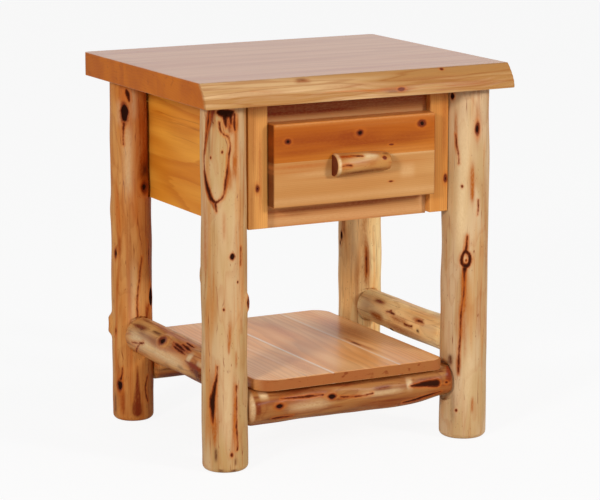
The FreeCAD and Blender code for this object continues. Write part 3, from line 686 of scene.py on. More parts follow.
legs = {
    "leg_front_left": {
        "side": (-1, -1), "radius": 38.7 * mm,
        "girth": ((0.1, 1), (0.3, 1), (0.5, 0.985), (0.75, 0.99), (1, 0.97)),
        "look": "paleLog", "seed": 3,
        "knots": (
            (370, -5, 4.2, 6, 0.6, 1.2, 0.8), (288, 42, 4, 10, 3, 0.6, 0.3), (326, 11, 1.8, 2.6, 0, 0.3, 0.6),
            (281, -27, 1.8, 2.6, 0, 0.3, 0.4), (544, -29, 2, 3, 0, 0.3, 0.2),
            (534, -61, 1.6, 2.6, 0, 0.3, 0.2), (32, -9, 2.4, 4, 0.3, 0.5, 0.4), (530, 120, 5, 9, 1.5, 1, 0.7),
            (330, -135, 6, 11, 2, 1, 0.8), (200, 150, 5, 10, 1.5, 1, 0.6), (90, 100, 4, 8, 1, 0.8, 0.8),
        ),
        "swells": ((535, -45, 20, 60, -2.4), (286, 44, 8, 24, 2), (420, -30, 20, 60, 0.8)),
        "streaks": (
            (587, -6, 5, 15, 0.9), (593, 12, 3, 14, 0.8), (560, 6, 3, 34, 0.7), (520, 0, 3, 22, 0.8),
            (500, -10, 4, 18, 0.8), (519, 7, 2.5, 16, 0.7), (478, 33, 2.5, 44, 0.7), (396, -80, 8, 60, 0.6),
            (422, -25, 3, 22, 0.5), (300, -55, 7, 50, 0.3), (240, -12, 3, 20, 0.8), (253, 20, 2, 14, 0.7),
            (216, -15, 2, 10, 0.8), (195, 4, 2, 14, 0.8), (120, -55, 9, 54, 0.9), (68, -52, 4, 22, 1),
            (104, 0, 5, 62, 0.9), (330, 50, 4, 110, 0.3), (300, 170, 12, 160, 0.5), (120, 110, 8, 90, 0.5),
        ),
        # The stain at 617 mm, a dark band round the top under the slab, is painted shadow of the slab
        "stains": (
            (32, -49, 2.5, 11, 1), (5, -36, 5, 3, 0.7), (4, -3, 6, 3, 0.7), (20, 1, 2, 6, 0.7),
            (600, -58, 6, 14, 0.7), (560, -66, 3, 30, 0.4), (617, -20, 70, 8, 0.35),
        ),
        "lights": ((530, -45, 10, 40, 0.1), (455, -5, 12, 60, 0.2), (110, -20, 9, 60, 0.3)),
        "cracks": (
            (0.8, ((614, -64, 0.9), (589, -69, 0.7), (569, -76, 0.3), (549, -81, 0.2), (529, -84, 0.4),
            (509, -82, 1.2), (494, -76, 2.4), (480, -68, 3.6), (467, -61, 3.4), (462, -53, 1.8),
            (460, -45, 1), (464, -36, 0.9), (470, -27, 0.6), (484, -22, 0.7), (496, -21, 0.9),
            (512, -16, 1.2), (528, -13, 0.6), (543, -10, 0.4), (555, -8, 0.3), (565, -10, 0.4),
            (571, -16, 0.6), (573, -25, 0.5), (578, -32, 0.8), (585, -35, 0.8), (593, -36, 0.4))),
            (0.6, ((461, -48, 1), (446, -44, 0.2))),
            (3, ((610, -38, 2.5), (609, -26, 7), (607, -10, 6), (610, 0, 1.5))),
            (2.5, ((606, -22, 5), (596, -21, 2.6), (586, -19, 0.4))),
            (1.5, ((606, -6, 4), (599, -7, 2), (590, -6, 0.3))),
            (1, ((606, 3, 2), (594, 2, 1.4), (580, 4, 0.3))),
            (2, ((184, -44, 0.3), (166, -46, 1), (149, -52, 2.2), (126, -60, 5), (113, -60, 5), (98, -58, 2),
            (85, -57, 0.5))),
            (0.5, ((150, 4, 0.2), (120, 5, 0.6), (80, 4, 0.6), (52, 7, 0.5), (40, 6, 0.2))),
            (0.3, ((384, 21, 0.1), (369, 21, 0.4), (354, 21, 0.1))),
            (0.5, ((370, 75, 0.3), (240, 80, 0.7), (150, 78, 0.3))),
        ),
        "scars": (
            ((509, -82, 3.5), (488, -73, 5.6), (467, -61, 5), (450, -50, 1.5)),
            ((530, -12, 1.2), (508, -13, 3), (476, -22, 1)),
            ((616, -58, 8), (600, -64, 7), (570, -74, 4), (540, -80, 1.5)),
            ((604, -10, 3), (590, -12, 4), (578, -10, 1)), ((132, -58, 4.5), (106, -60, 5), (88, -58, 1)),
        ),
    },
    "leg_front_right": {
        "side": (1, -1), "radius": 40.9 * mm,
        "girth": ((0.1, 1), (0.3, 0.99), (0.5, 1), (0.75, 0.985), (1, 0.96)),
        "look": "creamLog", "seed": 8,
        "knots": (
            (549, -2, 5, 12, 0.6, 1.5, 0.5), (321, -27, 2, 2.6, 0, 0.6, 0.5),
            (450, -39, 2.2, 3, 0.2, 0.4, 0.3), (605, -68, 4, 6, 0.4, 1, 0.9),
            (53, -47, 2.4, 3, 0.2, 0.4, 0.4), (470, 95, 5, 10, 1.5, 1.2, 0.7), (250, 130, 6, 12, 2, 1, 0.5),
            (420, 170, 5, 9, 1.5, 1, 0.8), (120, 80, 5, 10, 1.5, 1, 0.8),
        ),
        "swells": ((323, -28, 16, 30, 1.5), (120, -60, 16, 30, -1), (470, 60, 20, 60, 0.8)),
        "streaks": (
            (456, -14, 4, 34, 1), (456, -14, 3, 28, 0.7), (350, -26, 4, 18, 0.9), (183, -27, 4, 40, 0.5),
            (62, -7, 3, 14, 0.8), (551, -2, 7, 34, 0.4), (268, -32, 6, 40, 1), (270, -32, 4, 36, 0.8),
            (212, -38, 5, 34, 0.9), (545, -56, 3, 34, 0.8), (400, 30, 6, 80, 0.4), (350, 120, 10, 120, 0.5),
            (240, 10, 6, 60, 0.3),
        ),
        # The stain at 617 mm, a dark band round the top under the slab, is painted shadow of the slab
        "stains": (
            (142, -66, 5, 9, 0.9), (133, -43, 3.5, 16, 0.9), (60, -56, 4, 30, 0.4), (617, -20, 70, 9, 0.4),
        ),
        "lights": (
            (410, -40, 12, 70, 0.8), (520, -35, 12, 50, 0.7), (110, -20, 12, 60, 0.5),
            (323, -29, 4.5, 5, 0.9),
        ),
        "cracks": (
            (0.4, ((540, -57, 0.1), (520, -55, 0.4), (503, -48, 0.3), (490, -48, 0.1))),
            (0.8, ((363, -25, 0.2), (350, -26, 0.8), (338, -28, 1.6))),
            (1.2, ((337, -28, 2.2), (331, -19, 2), (316, -17, 2.2), (309, -28, 3.4), (316, -39, 2.2),
            (331, -37, 1.4), (337, -28, 1.8))),
            (0.8, ((306, -30, 3), (295, -31, 1), (263, -31, 0.2), (236, -37, 0.2), (215, -39, 1),
            (185, -39, 0.5), (158, -42, 0.7), (133, -43, 1.6), (118, -43, 0.3))),
            (0.4, ((426, 2, 0.1), (412, 3, 0.5), (400, 2, 0.1))),
        ),
        "scars": (((333, -33, 1), (322, -36, 1.4), (313, -33, 1)),),
    },
    "leg_rear_left": {
        "side": (-1, 1), "radius": 35.9 * mm,
        "girth": ((0.1, 1.01), (0.28, 1.03), (0.5, 0.99), (0.75, 1), (1, 0.98)),
        "look": "warmLog", "seed": 15,
        "knots": (
            (560, -39, 8, 19, 0.8, 1.5, 0.75), (426, 18, 8.5, 12, 0.8, 1.5, 0.45),
            (307, -75, 3.5, 9, 1.5, 1, 0.6), (225, 40, 6, 18, 1, 4, 0.95), (66, -64, 6.5, 12, 1, 1, 0.6),
            (173, -114, 7, 11, 5, 1, 0.4), (380, 140, 6, 11, 1.5, 1, 0.6), (150, 160, 5, 10, 1.5, 1, 0.7),
            (500, -170, 5, 9, 1.5, 1, 0.8),
        ),
        "swells": ((173, -114, 11, 16, 3), (385, -110, 10, 20, 1.5), (120, -100, 14, 40, 1)),
        # Streaks at 30 to 45 degrees, on the side towards the side panel: wood colour and painted shade
        "streaks": (
            (450, 18, 7, 34, 1), (321, -60, 5, 16, 0.7), (198, 23, 5, 20, 0.9), (75, -64, 6, 26, 0.6),
            (36, -55, 5, 20, 0.8), (520, 30, 22, 100, 0.85), (330, 45, 14, 120, 0.6), (100, 45, 10, 90, 0.7),
            (300, -30, 6, 90, 0.4),
        ),
        # The two stains at 43 and 45 degrees, from about 420 mm up, are painted shade beside the side panel
        "stains": (
            (29, -85, 3, 20, 0.9), (22, -13, 8, 12, 1), (446, 20, 8, 24, 1), (120, 62, 8, 120, 0.5),
            (530, 43, 6, 110, 1), (530, 45, 4, 100, 1),
        ),
        "lights": (
            (575, -15, 8, 26, 0.5), (480, -30, 9, 70, 0.5), (230, -20, 8, 60, 0.4), (560, -55, 6, 22, 0.4),
        ),
        "cracks": (
            (0.9, ((601, -33, 0.4), (594, -29, 3.4), (585, -26, 1.8), (580, -25, 0.3))),
            (0.6, ((541, -41, 1.2), (521, -44, 0.8), (504, -44, 0.3))),
            (0.6, ((301, 6, 0.2), (285, 2, 0.5), (246, -6, 0.7), (218, -11, 0.7), (193, -9, 0.2))),
            (1.5, ((170, -79, 0.4), (165, -79, 1.6), (157, -79, 0.3))),
            (0.5, ((82, 21, 0.4), (63, 13, 0.9), (48, 16, 0.7), (36, 22, 0.3))),
            (0.5, ((330, 30, 0.1), (300, 32, 0.5), (285, 33, 0.1))),
            (0.7, ((99, -56, 0.3), (91, -56, 0.8), (78, -60, 1.4))),
            # Painted shade line: this long thin crack runs down beside the side panel
            (0.4, ((612, 43, 1.4), (560, 44, 1.8), (500, 43, 1.6), (441, 43, 1.4))),
        ),
        "scars": (
            ((103, -11, 0.6), (68, -12, 3.5), (40, -13, 7), (20, -13, 9)), ((322, -69, 0.8), (312, -72, 1.6)),
            ((212, 28, 2), (198, 23, 2.5), (186, 22, 0.8)),
        ),
    },
    "leg_rear_right": {
        "side": (1, 1), "radius": 39.4 * mm,
        "girth": ((0.1, 1), (0.3, 1.01), (0.5, 1), (0.75, 0.98), (1, 0.97)),
        "look": "paleLogPaintedLit", "seed": 21,
        "knots": (
            (296, -88, 4, 9, 1, 1.2, 0.8), (282, -96, 3, 6, 0.6, 0.8, 0.5), (520, 90, 6, 10, 1.5, 1, 0.7),
            (330, 150, 6, 11, 1.8, 1.2, 0.6), (150, 60, 5, 10, 1.5, 1, 0.8), (480, -150, 5, 10, 1.5, 1, 0.7),
        ),
        "swells": ((330, 150, 14, 26, 1.5),),
        "streaks": (
            (245, -11, 7, 45, 0.9), (330, -16, 7, 50, 0.6), (200, -35, 5, 60, 0.5), (330, -84, 6, 30, 0.7),
            (250, 110, 10, 90, 0.5),
        ),
        "stains": ((250, -10, 3, 26, 0.8),), "lights": ((300, -45, 10, 70, 0.6),),
        "cracks": ((0.5, ((275, -12, 0.2), (250, -11, 0.8), (225, -10, 0.2))),),
    },
}

stretcher = {"face": (0, -1, 0), "sense": -1, "flat": 132 * mm, "waves": 1.1}
sideLog = {"face": (-1, 0, 0)}
rails = {
    "front_stretcher": {
        **stretcher, "from": (-199.3, -187.6, 101.5), "to": (197.1, -187.6, 101.5), "radius": 33 * mm,
        "girth": ((0, 0.99), (0.25, 1.01), (0.5, 0.98), (0.75, 1), (1, 0.99)),
        "look": "roughLogDarkerAndShaded", "seed": 31,
        "knots": (
            (53, 4, 5, 8, 0.6, 1.2, 0.7), (153, 13, 5, 8, 0.8, 1.2, 0.7), (300, -120, 5, 9, 1.5, 1, 0.7),
            (120, 170, 5, 9, 1.5, 1, 0.7),
        ),
        "swells": (
            (12, -10, 26, 16, 1.5), (386, 60, 22, 18, 5), (390, -70, 26, 44, -9), (290, -70, 22, 50, 2.5),
        ),
        "streaks": (
            (13, 2, 14, 5, 0.9), (97, 37, 4, 46, 0.7), (165, 2, 2, 15, 0.8), (253, 18, 4, 17, 0.9),
            (345, 26, 4, 26, 0.8), (200, 150, 10, 150, 0.5), (250, -30, 8, 60, 0.5),
        ),
        "stains": (
            (57, -38, 5, 27, 0.9), (160, -48, 4, 50, 0.5), (240, 44, 3, 90, 0.6), (120, 50, 3, 90, 0.6),
        ),
        "lights": (
            (27, 43, 7, 8, 0.9), (4, 10, 30, 4, 0.7), (250, 5, 5, 42, 0.6), (306, 20, 9, 6, 0.8),
            (110, -5, 8, 40, 0.5), (374, 69, 6, 6, 0.8),
        ),
        "cracks": (
            (0.8, ((58, 26, 0.3), (80, 24, 0.9), (112, 22, 1.3), (137, 21, 0.3))),
            (2, ((308, 12, 0.3), (322, 12, 2.4), (342, 12, 5.4), (361, 11, 6))),
            (0.5, ((170, 8, 0.2), (200, 2, 0.5), (232, 6, 0.2))), (0.6, ((379, 10, 1), (381, 9, 1))),
            (1.2, ((296, -42, 0.6), (322, -38, 2.4), (350, -29, 2.8), (370, -20, 0.8))),
            (0.8, ((42, -37, 0.5), (58, -37, 2.4), (80, -36, 0.5))),
        ),
        "scars": (
            ((308, 18, 0.5), (335, 22, 1.5), (364, 22, 1.5)), ((384, 20, 6), (392, 50, 8)),
            ((288, -46, 1), (320, -42, 4), (356, -32, 4), (374, -24, 1)),
            ((42, -36, 0.5), (58, -38, 2.4), (80, -36, 0.5)),
        ),
    },
    "rear_stretcher": {
        **stretcher, "from": (-202.1, 187.6, 101), "to": (198.6, 187.6, 101), "radius": 33.5 * mm,
        "girth": ((0, 0.99), (0.25, 1), (0.5, 1.02), (0.75, 0.99), (1, 0.99)),
        "look": "roughLog", "seed": 37,
        "knots": (
            (90, -40, 5, 9, 1.5, 1, 0.7), (240, 170, 6, 10, 1.5, 1, 0.7), (330, -150, 5, 9, 1.5, 1, 0.4),
        ),
        "streaks": ((50, -50, 10, 40, 0.9), (200, -30, 10, 90, 0.6), (200, 160, 10, 130, 0.6)),
        "stains": ((45, -20, 3, 50, 0.8), (60, -58, 4, 40, 0.8), (280, 175, 4, 24, 0.8)),
    },
    "left_side_log": {
        **sideLog, "from": (-233, -153.7, 160.5), "to": (-233, 156.7, 160.5), "radius": 31.3 * mm,
        "girth": ((0, 0.97), (0.25, 0.97), (0.5, 0.99), (0.75, 1.02), (1, 1)),
        "look": "roughLog", "seed": 43, "waves": 1.2,
        "knots": (
            (158, 41, 8, 13, 2, 1.2, 0.5), (175, -140, 5, 9, 1.5, 1, 0.7), (100, -120, 5, 10, 1.5, 1, 0.6),
        ),
        "swells": ((158, 41, 18, 22, 1.5), (36, 20, 18, 24, 1.8)),
        "streaks": (
            (95, 45, 10, 42, 0.8), (23, 0, 14, 18, 0.9), (200, 30, 6, 50, 0.5), (262, 50, 8, 30, 0.9),
            (120, -50, 8, 90, 0.5),
        ),
        "stains": (
            (200, 58, 3, 17, 0.9), (255, 46, 2.5, 7, 0.8), (77, -14, 4, 10, 0.4), (12, -12, 14, 12, 0.9),
            (30, -40, 9, 30, 0.7),
        ),
        "lights": ((48, 31, 7, 9, 1), (8, 23, 6, 8, 0.7), (240, 10, 16, 44, 0.7), (130, 0, 12, 70, 0.7)),
        "cracks": (
            (0.6, ((128, 54, 0.4), (100, 49, 3), (74, 44, 0.6))),
            (0.6, ((119, 42, 0.4), (92, 37, 2.6), (68, 34, 0.4))),
            (0.6, ((100, 61, 0.4), (78, 57, 2.6), (56, 52, 0.4))),
            (0.6, ((96, 74, 0.3), (80, 72, 2), (60, 70, 0.3))),
            (0.5, ((275, -8, 0.3), (250, -2, 0.8), (222, 9, 0.3))),
            (0.5, ((240, -1, 0.3), (262, -28, 0.7), (280, -52, 0.3))),
        ),
        "scars": (((60, 16, 1), (30, 12, 3), (6, 8, 4)), ((124, 46, 2), (95, 47, 7), (66, 46, 2))),
    },
    "right_side_log": {
        **sideLog, "from": (233, -151.7, 168.5), "to": (233, 153.2, 168.5), "radius": 29.8 * mm,
        "girth": ((0, 1), (0.25, 1.01), (0.5, 0.99), (0.75, 0.97), (1, 0.97)),
        "look": "paleLogPaintedLit", "seed": 49, "waves": 0.9,
        "knots": (
            (175, 29, 2.4, 4, 0.4, 0.6, 0.5), (243, -60, 3.5, 6, 0.6, 1, 0.9),
            (181, -46, 3.5, 6, 0.6, 1, 0.9), (220, 150, 5, 9, 1.5, 1, 0.7),
        ),
        "streaks": (
            (228, 48, 5, 20, 1), (225, -8, 9, 24, 0.8), (140, 10, 6, 30, 0.8), (120, -30, 7, 60, 0.7),
            (80, 34, 4, 17, 0.9), (180, -25, 8, 60, 0.5), (150, 160, 10, 100, 0.5),
        ),
        # The stain at 305 mm, a ring round the rear end where the log meets the rear right leg, is painted
        # shade in the joint
        "stains": ((66, 33, 2.5, 4, 1), (71, -2, 3, 5, 0.9), (305, 0, 60, 4, 0.9), (150, -50, 5, 120, 0.5)),
        "lights": ((270, 20, 12, 16, 0.6), (40, 20, 10, 24, 0.5)),
        "cracks": (
            (1.2, ((297, -88, 0.8), (299, -50, 2.6), (301, -15, 2.4), (300, 15, 0.5))),
            (0.4, ((190, 22, 0.2), (176, 25, 1), (160, 22, 0.2))),
            (0.4, ((120, 4, 0.2), (104, 2, 0.8), (92, 6, 0.2))),
            (0.4, ((84, 30, 0.2), (72, 33, 1), (58, 30, 0.2))),
        ),
        "scars": (((240, 50, 1), (230, 49, 3), (218, 46, 1)),),
    },
}

pull = {
    "from": (-46, -221.2, 507),
    "length": 106 * mm,
    "places": (0, 0.02, 0.25, 0.5, 0.7, 0.86, 0.98, 1),
    "girths": (1.04, 1.1, 1.05, 1, 0.97, 0.92, 0.86, 0.8),
    "rises": (-0.03, -0.02, 0, 0.03, 0.04, 0.02, -0.02, -0.03),
    "radius": 17.8 * mm,
    "look": "pullLog",
    "seed": 55,
    "sense": -1,
    "waves": 0.5,
    "knots": ((91, 28, 3.5, 4, 0.3, 0.3, 0),),
    "swells": ((62, 40, 10, 16, 1.2), (84, 20, 8, 10, -0.8)),
    "streaks": ((20, 50, 4, 16, 1), (50, 10, 5, 26, 0.4), (78, 66, 5, 12, 0.5)),
    # The first stain, along the whole underside, is painted shade under the pull
    "stains": ((50, -48, 5, 50, 0.7), (96, 60, 3, 6, 0.6)),
    "lights": ((4, 20, 26, 3, 0.8), (66, 44, 6, 14, 0.9), (40, 25, 8, 20, 0.4)),
    "cracks": (
        (0.6, ((8, 2, 0.2), (16, 4, 0.9), (26, 0, 0.2))),
        (0.6, ((28, 58, 0.2), (40, 50, 0.8), (50, 46, 0.2))),
    ),
}


# Rings of a flat end at one place along, from an inner to an outer radius, as (along, radius)
def endRings(at, inner, outer, count):
    return [(at, inner + (outer - inner) * k / count) for k in range(count)]


# Rings that close a flat end towards its pole
def capRings(at, outer, count):
    return [(at, outer * (1 - k / count)) for k in range(count)]


# Rings over a rounded edge, a quarter turn in steps of degrees
def roundRings(soft, inner, step):
    turns = np.radians(np.arange(0, 90, step))
    return [(soft * (1 - math.cos(turn)), inner + soft * math.sin(turn)) for turn in turns]


# Each profile gives its rows from pole to pole, and at each row how much the skin is the log's own
def legProfile(spec):
    height, foot, floor = (legShape[key] for key in ("height", "footRound", "notchFloor"))
    footCap, topCap = logGrid["legCap"]
    body = np.arange(foot, height, logGrid["row"])
    body = np.unique(np.concatenate([body, [floor - legShape["notchSharp"], floor + legShape["notchSharp"]]]))
    girth = smoothGirth(spec, height, body)
    inner = girth[0] - foot
    rounded = roundRings(foot, inner, 10)
    rows = endRings(0.0, logGrid["pin"], inner, footCap) + rounded + list(zip(body, girth))
    rows += capRings(height, girth[-1], topCap)
    ends = np.linspace(0, 1, len(rounded)), np.linspace(1, 0, topCap)
    return np.array(rows), np.concatenate([np.zeros(footCap), ends[0], np.ones(len(body)), ends[1]])


def railProfile(spec, length):
    tenon, reach, soft = (railShape[key] for key in ("tenonRadius", "tenonLength", "shoulderRound"))
    body = np.arange(soft, length - soft + 1e-6, logGrid["row"])
    girth = smoothGirth(spec, length, body)
    shoulder, steps = girth[0] - soft, logGrid["tenonRows"]
    half = endRings(-reach, logGrid["pin"], tenon, logGrid["tenonCap"])
    half += [(-reach + k * reach / steps, tenon) for k in range(steps + 1)]
    half += endRings(0.0, tenon, shoulder, logGrid["shoulderRings"])[1:]
    flat = np.zeros(len(half))
    rounded = roundRings(soft, shoulder, 7.5)
    half += rounded
    farther = girth[-1] - girth[0]
    far = [(length - a, r + (farther if r > tenon else 0.0)) for a, r in reversed(half)]
    ramp = np.sin(np.radians(np.arange(0, 90, 7.5)))
    weight = np.concatenate([flat, ramp, np.ones(len(body)), ramp[::-1], flat])
    return np.array(half + list(zip(body, girth)) + far), weight


def pullProfile():
    length, edge, cap = pull["length"], pullShape["lip"], logGrid["pullCap"]
    body = np.linspace(0.0, length, int(length / logGrid["pullRow"]))
    girth = pull["radius"] * np.interp(body / length, pull["places"], pull["girths"])
    kernel = np.ones(pullShape["smoothing"]) / pullShape["smoothing"]
    inner = np.convolve(np.pad(girth, pullShape["smoothing"] // 2, mode="edge"), kernel, mode="valid")
    nearEnd = np.minimum(body, length - body)
    lip = np.where(nearEnd < edge, edge - np.sqrt(np.maximum(edge**2 - (edge - nearEnd) ** 2, 0)), 0)
    rows = endRings(0.0, logGrid["pullPin"], inner[0] - edge, cap) + list(zip(body, inner - lip))
    rows += capRings(length, inner[-1] - edge, cap)[1:]
    weight = np.concatenate([np.zeros(cap), np.clip(nearEnd / pullShape["fade"], 0, 1), np.zeros(cap - 1)])
    return np.array(rows), weight


# Cuts the corner of the case out of a leg: inside both walls a point is drawn back to the nearer wall. A
# narrow groove along the panel's face is cut the same way, where the leg's skin meets it.
def notchCutter(spec):
    signX, signY = spec["side"]
    centre = np.array([signX * legShape["centreX"], signY * legShape["centreY"]])
    wallX = legShape["centreX"] - legShape["notchX"]
    wallY = legShape["centreY"] - legShape["notchY"]
    meetY = math.sqrt(spec["radius"] ** 2 - wallX**2)

    def cut(rows):
        offset = rows[..., :2] - centre
        inX = np.maximum(-signX * offset[..., 0], 1e-9)
        inY = np.maximum(-signY * offset[..., 1], 1e-9)
        keep = np.minimum(1.0, np.maximum(wallX / inX, wallY / inY))
        groove = np.maximum((wallX - legShape["grooveWide"]) / inX, (meetY - legShape["grooveDeep"]) / inY)
        keep = np.where(rows[..., 2] > legShape["notchFloor"], np.minimum(keep, groove), 1.0)
        rows = rows.copy()
        rows[..., :2] = centre + offset * keep[..., None]
        return rows

    return cut


# Cuts a flat round seat for a rail: inside the seat's radius a point is drawn back along the rail to the
# seat
def seatCutter(railName, atStart):
    rail = rails[railName]
    start, end = np.array(rail["from"]) * mm, np.array(rail["to"]) * mm
    along = (end - start) / np.linalg.norm(end - start)
    seat, outward = (start, along) if atStart else (end, -along)
    reach = rail["radius"] + legShape["spotGap"]

    def cut(rows):
        offset = rows - seat
        ahead = offset @ outward
        aside = np.linalg.norm(offset - ahead[..., None] * outward, axis=-1)
        near = (ahead > 0) & (ahead < legShape["spotReach"])
        depth = ahead * np.clip((reach - aside) / legShape["spotEdge"], 0, 1)
        return rows - np.where(near, depth, 0)[..., None] * outward

    return cut


# Cuts off flat what passes a level of one axis: where the shelf lies on a stretcher, or the pull on the
# drawer front
def levelCutter(axis, level):
    def cut(rows):
        rows = rows.copy()
        rows[..., axis] = np.minimum(rows[..., axis], level)
        return rows

    return cut


railEnds = {
    "leg_front_left": (("front_stretcher", True), ("left_side_log", True)),
    "leg_front_right": (("front_stretcher", False), ("right_side_log", True)),
    "leg_rear_left": (("rear_stretcher", True), ("left_side_log", False)),
    "leg_rear_right": (("rear_stretcher", False), ("right_side_log", False)),
}


def makeLegs():
    for name, spec in legs.items():
        start = (spec["side"][0] * legShape["centreX"], spec["side"][1] * legShape["centreY"], 0.0)
        cutters = [notchCutter(spec)] + [seatCutter(*end) for end in railEnds[name]]
        piece = makeLog(name + "_log", spec, *legProfile(spec), start, (0, 0, 1), (0, -1, 0), cutters)
        settle(piece, name, "frame")


def makeRails():
    for name, spec in rails.items():
        start, end = np.array(spec["from"]) * mm, np.array(spec["to"]) * mm
        length = np.linalg.norm(end - start)
        cutters = [levelCutter(2, spec["flat"])] if "flat" in spec else []
        profile, weight = railProfile(spec, length)
        along = (end - start) / length
        piece = makeLog(name + "_log", spec, profile, weight, start, along, spec["face"], cutters)
        settle(piece, name, "frame")


def makePull():
    profile, weight = pullProfile()
    rise = pull["radius"] * np.interp(profile[:, 0] / pull["length"], pull["places"], pull["rises"])
    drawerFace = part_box("drawer_front_lower")[0].y

    def lift(rows):
        rows = rows.copy()
        rows[..., 2] += rise[:, None]
        return rows

    cutters = [lift, levelCutter(1, drawerFace)]
    start = np.array(pull["from"]) * mm
    piece = makeLog("drawer_pull_log", pull, profile, weight, start, (1, 0, 0), (0, -1, 0), cutters)
    settle(piece, "log_pull", "drawer")


makeLegs()
makeRails()
makePull()
print("logs peeled:", len(legs) + len(rails) + 1)


# Boards

boardGrid = {
    "ease": 1.2 * mm,
    "cell": 3 * mm,
    "thickCell": 2.5 * mm,
    "cornerSteps": 5,
    "innermost": 0.08,
    "endRings": 8,
    "roundStep": 15,
    "softness": 0.25,  # share of the easing that an end face keeps
}


# A rounded box whose grain runs along the first axis, its width along the second and its thickness along
# the third: a rounded rectangle carried along the grain, which swells from the end faces over the easing
# radius. A side that is glued to the next board has square corners.
def makeBoard(name, spec):
    order = ["xyz".index(axis) for axis in spec["axes"]]
    (length0, width0, thick0), (length1, width1, thick1) = np.array(spec["box"])[:, order]
    ease, cell = spec.get("ease", boardGrid["ease"]), spec.get("cell", boardGrid["cell"])
    section = []
    corners = ((0, 0, 180), (1, 0, 270), (1, 1, 0), (0, 1, 90))
    sides = ((width1 - width0) / cell, (thick1 - thick0) / min(cell, boardGrid["thickCell"])) * 2
    for (q, s, degrees), (nextQ, nextS, _), steps in zip(corners, corners[1:] + corners[:1], sides):
        for part in np.linspace(0, 90, boardGrid["cornerSteps"]):
            turn = math.radians(degrees + part)
            section.append((q, s, math.cos(turn), math.sin(turn)))
        count, facing = max(2, int(steps)), section[-1][2:]
        for part in np.arange(1, count) / count:
            section.append((q + (nextQ - q) * part, s + (nextS - s) * part, *facing))
    section = np.array(section)
    arcs = np.radians(np.arange(0, 90, boardGrid["roundStep"]))
    inner = np.linspace(boardGrid["innermost"], 1.0, boardGrid["endRings"], endpoint=False)
    body = np.linspace(length0 + ease, length1 - ease, max(3, int((length1 - length0) / cell)))
    extra = np.array(spec.get("stations", ()))
    body = np.unique(np.concatenate([body, extra[(extra > body[0]) & (extra < body[-1])]]))
    near = [(length0, k, 0.0) for k in inner]
    near += [(length0 + ease * (1 - math.cos(a)), 1.0, math.sin(a)) for a in arcs]
    far = [(length0 + length1 - a, k, g) for a, k, g in reversed(near)]
    stations = np.array(near + [(a, 1.0, 1.0) for a in body] + far)
    along, q = np.meshgrid(stations[:, 0], section[:, 0], indexing="ij")
    shrink, roundness = stations[:, 1:2], stations[:, 2:3]
    swell = (boardGrid["softness"] + (1 - boardGrid["softness"]) * roundness) * shrink
    lowEase, highEase = (0.0 if glued else ease for glued in spec.get("glued", (False, False)))
    q = 0.5 + (q - 0.5) * shrink
    s = 0.5 + (section[None, :, 1] - 0.5) * shrink
    thick = thick0 + ease + s * (thick1 - thick0 - 2 * ease) + section[None, :, 3] * swell * ease
    lowSide = width0 - spec["lowSide"](along, thick) if "lowSide" in spec else np.full(along.shape, width0)
    highSide = width1 + spec["highSide"](along, thick) if "highSide" in spec else np.full(along.shape, width1)
    outwards = section[None, :, 2]
    width = lowSide + lowEase + q * (highSide - lowSide - lowEase - highEase)
    width = width + outwards * swell * np.where(outwards < 0, lowEase, highEase)

    def acrossOf(place):
        return width - place * mm

    _, swerve, fields = readMarks(spec, along, acrossOf, mm)
    fields["end"] = np.repeat(1.0 - roundness, along.shape[1], 1)
    fields["sap"] = fields["sap"] * (1.0 - fields["end"])
    if "fieldsOf" in spec:
        spec["fieldsOf"](fields, along, width, thick, lowSide, highSide)
    rows = np.zeros(along.shape + (3,))
    rows[..., order] = np.stack([along, width, thick], -1)
    grain = np.stack([along + spec["seed"] * grainShift, width + swerve, thick], -1)
    poles = np.array([rows[0].mean(0), rows[-1].mean(0)])
    inward = np.linalg.det(np.eye(3)[order]) < 0
    return addPiece(name, rows, poles, fields, grain, inward, spec["look"])


topShape = {
    "low": 619 * mm,
    "high": 660 * mm,
    "halfWidth": 293 * mm,
    "front": -251 * mm,
    "joints": (-60 * mm, 77 * mm, 214 * mm),
    "rear": 251 * mm,
    "cornerRadius": 10 * mm,
    "setback": 23 * mm,
    "bulge": 5 * mm,
    "wander": 4 * mm,
    "wanderPlaces": (-0.52, -0.36, -0.2, -0.04, 0.12, 0.28, 0.4, 0.52),
    "wanderShares": (0.9, 0.2, 0.0, 0.55, 0.15, 0.0, 0.5, 1.0),
    "wanderShifts": (0.0, 0.02, -0.02, 0.035, -0.035),
    "ridge": 0.45 * mm,
    "ridgeCount": 5.5,
    "lump": 0.7 * mm,
    "skin": 4 * mm,
}


# Live edge: it slopes back towards the top, swells between its edges, wanders along, and carries fine
# ridges
def liveEdge(along, thick):
    places = np.array(topShape["wanderPlaces"]) * 2 * topShape["halfWidth"]
    rise = np.clip((thick - topShape["low"]) / (topShape["high"] - topShape["low"]), 0, 1)
    arch = np.sin(math.pi * rise)
    shares, shifts = topShape["wanderShares"], topShape["wanderShifts"]
    total = sum(np.interp(along + shift, places, shares) for shift in shifts)
    wander = topShape["wander"] * total / len(shifts)
    slope = topShape["setback"] * rise**1.15
    phase = rise * topShape["ridgeCount"] + 0.6 * np.sin(along * 14.0) + 0.35 * np.sin(along * 37.0)
    ridges = topShape["ridge"] * np.sin(2 * math.pi * phase) * arch**0.5
    lumps = topShape["lump"] * np.sin(along * 61.0 + 4 * rise) * np.sin(along * 23.0 + 1.0) * arch
    return topShape["bulge"] * arch - slope - wander - ridges - lumps


# The live edge's own skin, one cell deep, and its marks, which lie at a height on the edge
def edgeSkin(fields, along, width, thick, lowSide, highSide):
    depth = width - lowSide
    fields["skin"] = np.clip(1.2 - depth / topShape["skin"], 0, 1)

    def acrossOf(place):
        return np.where(depth < 1 * mm, thick - place * mm, np.hypot(thick - place * mm, depth))

    fields.update(readMarks(edgeMarks, along, acrossOf, mm)[2])


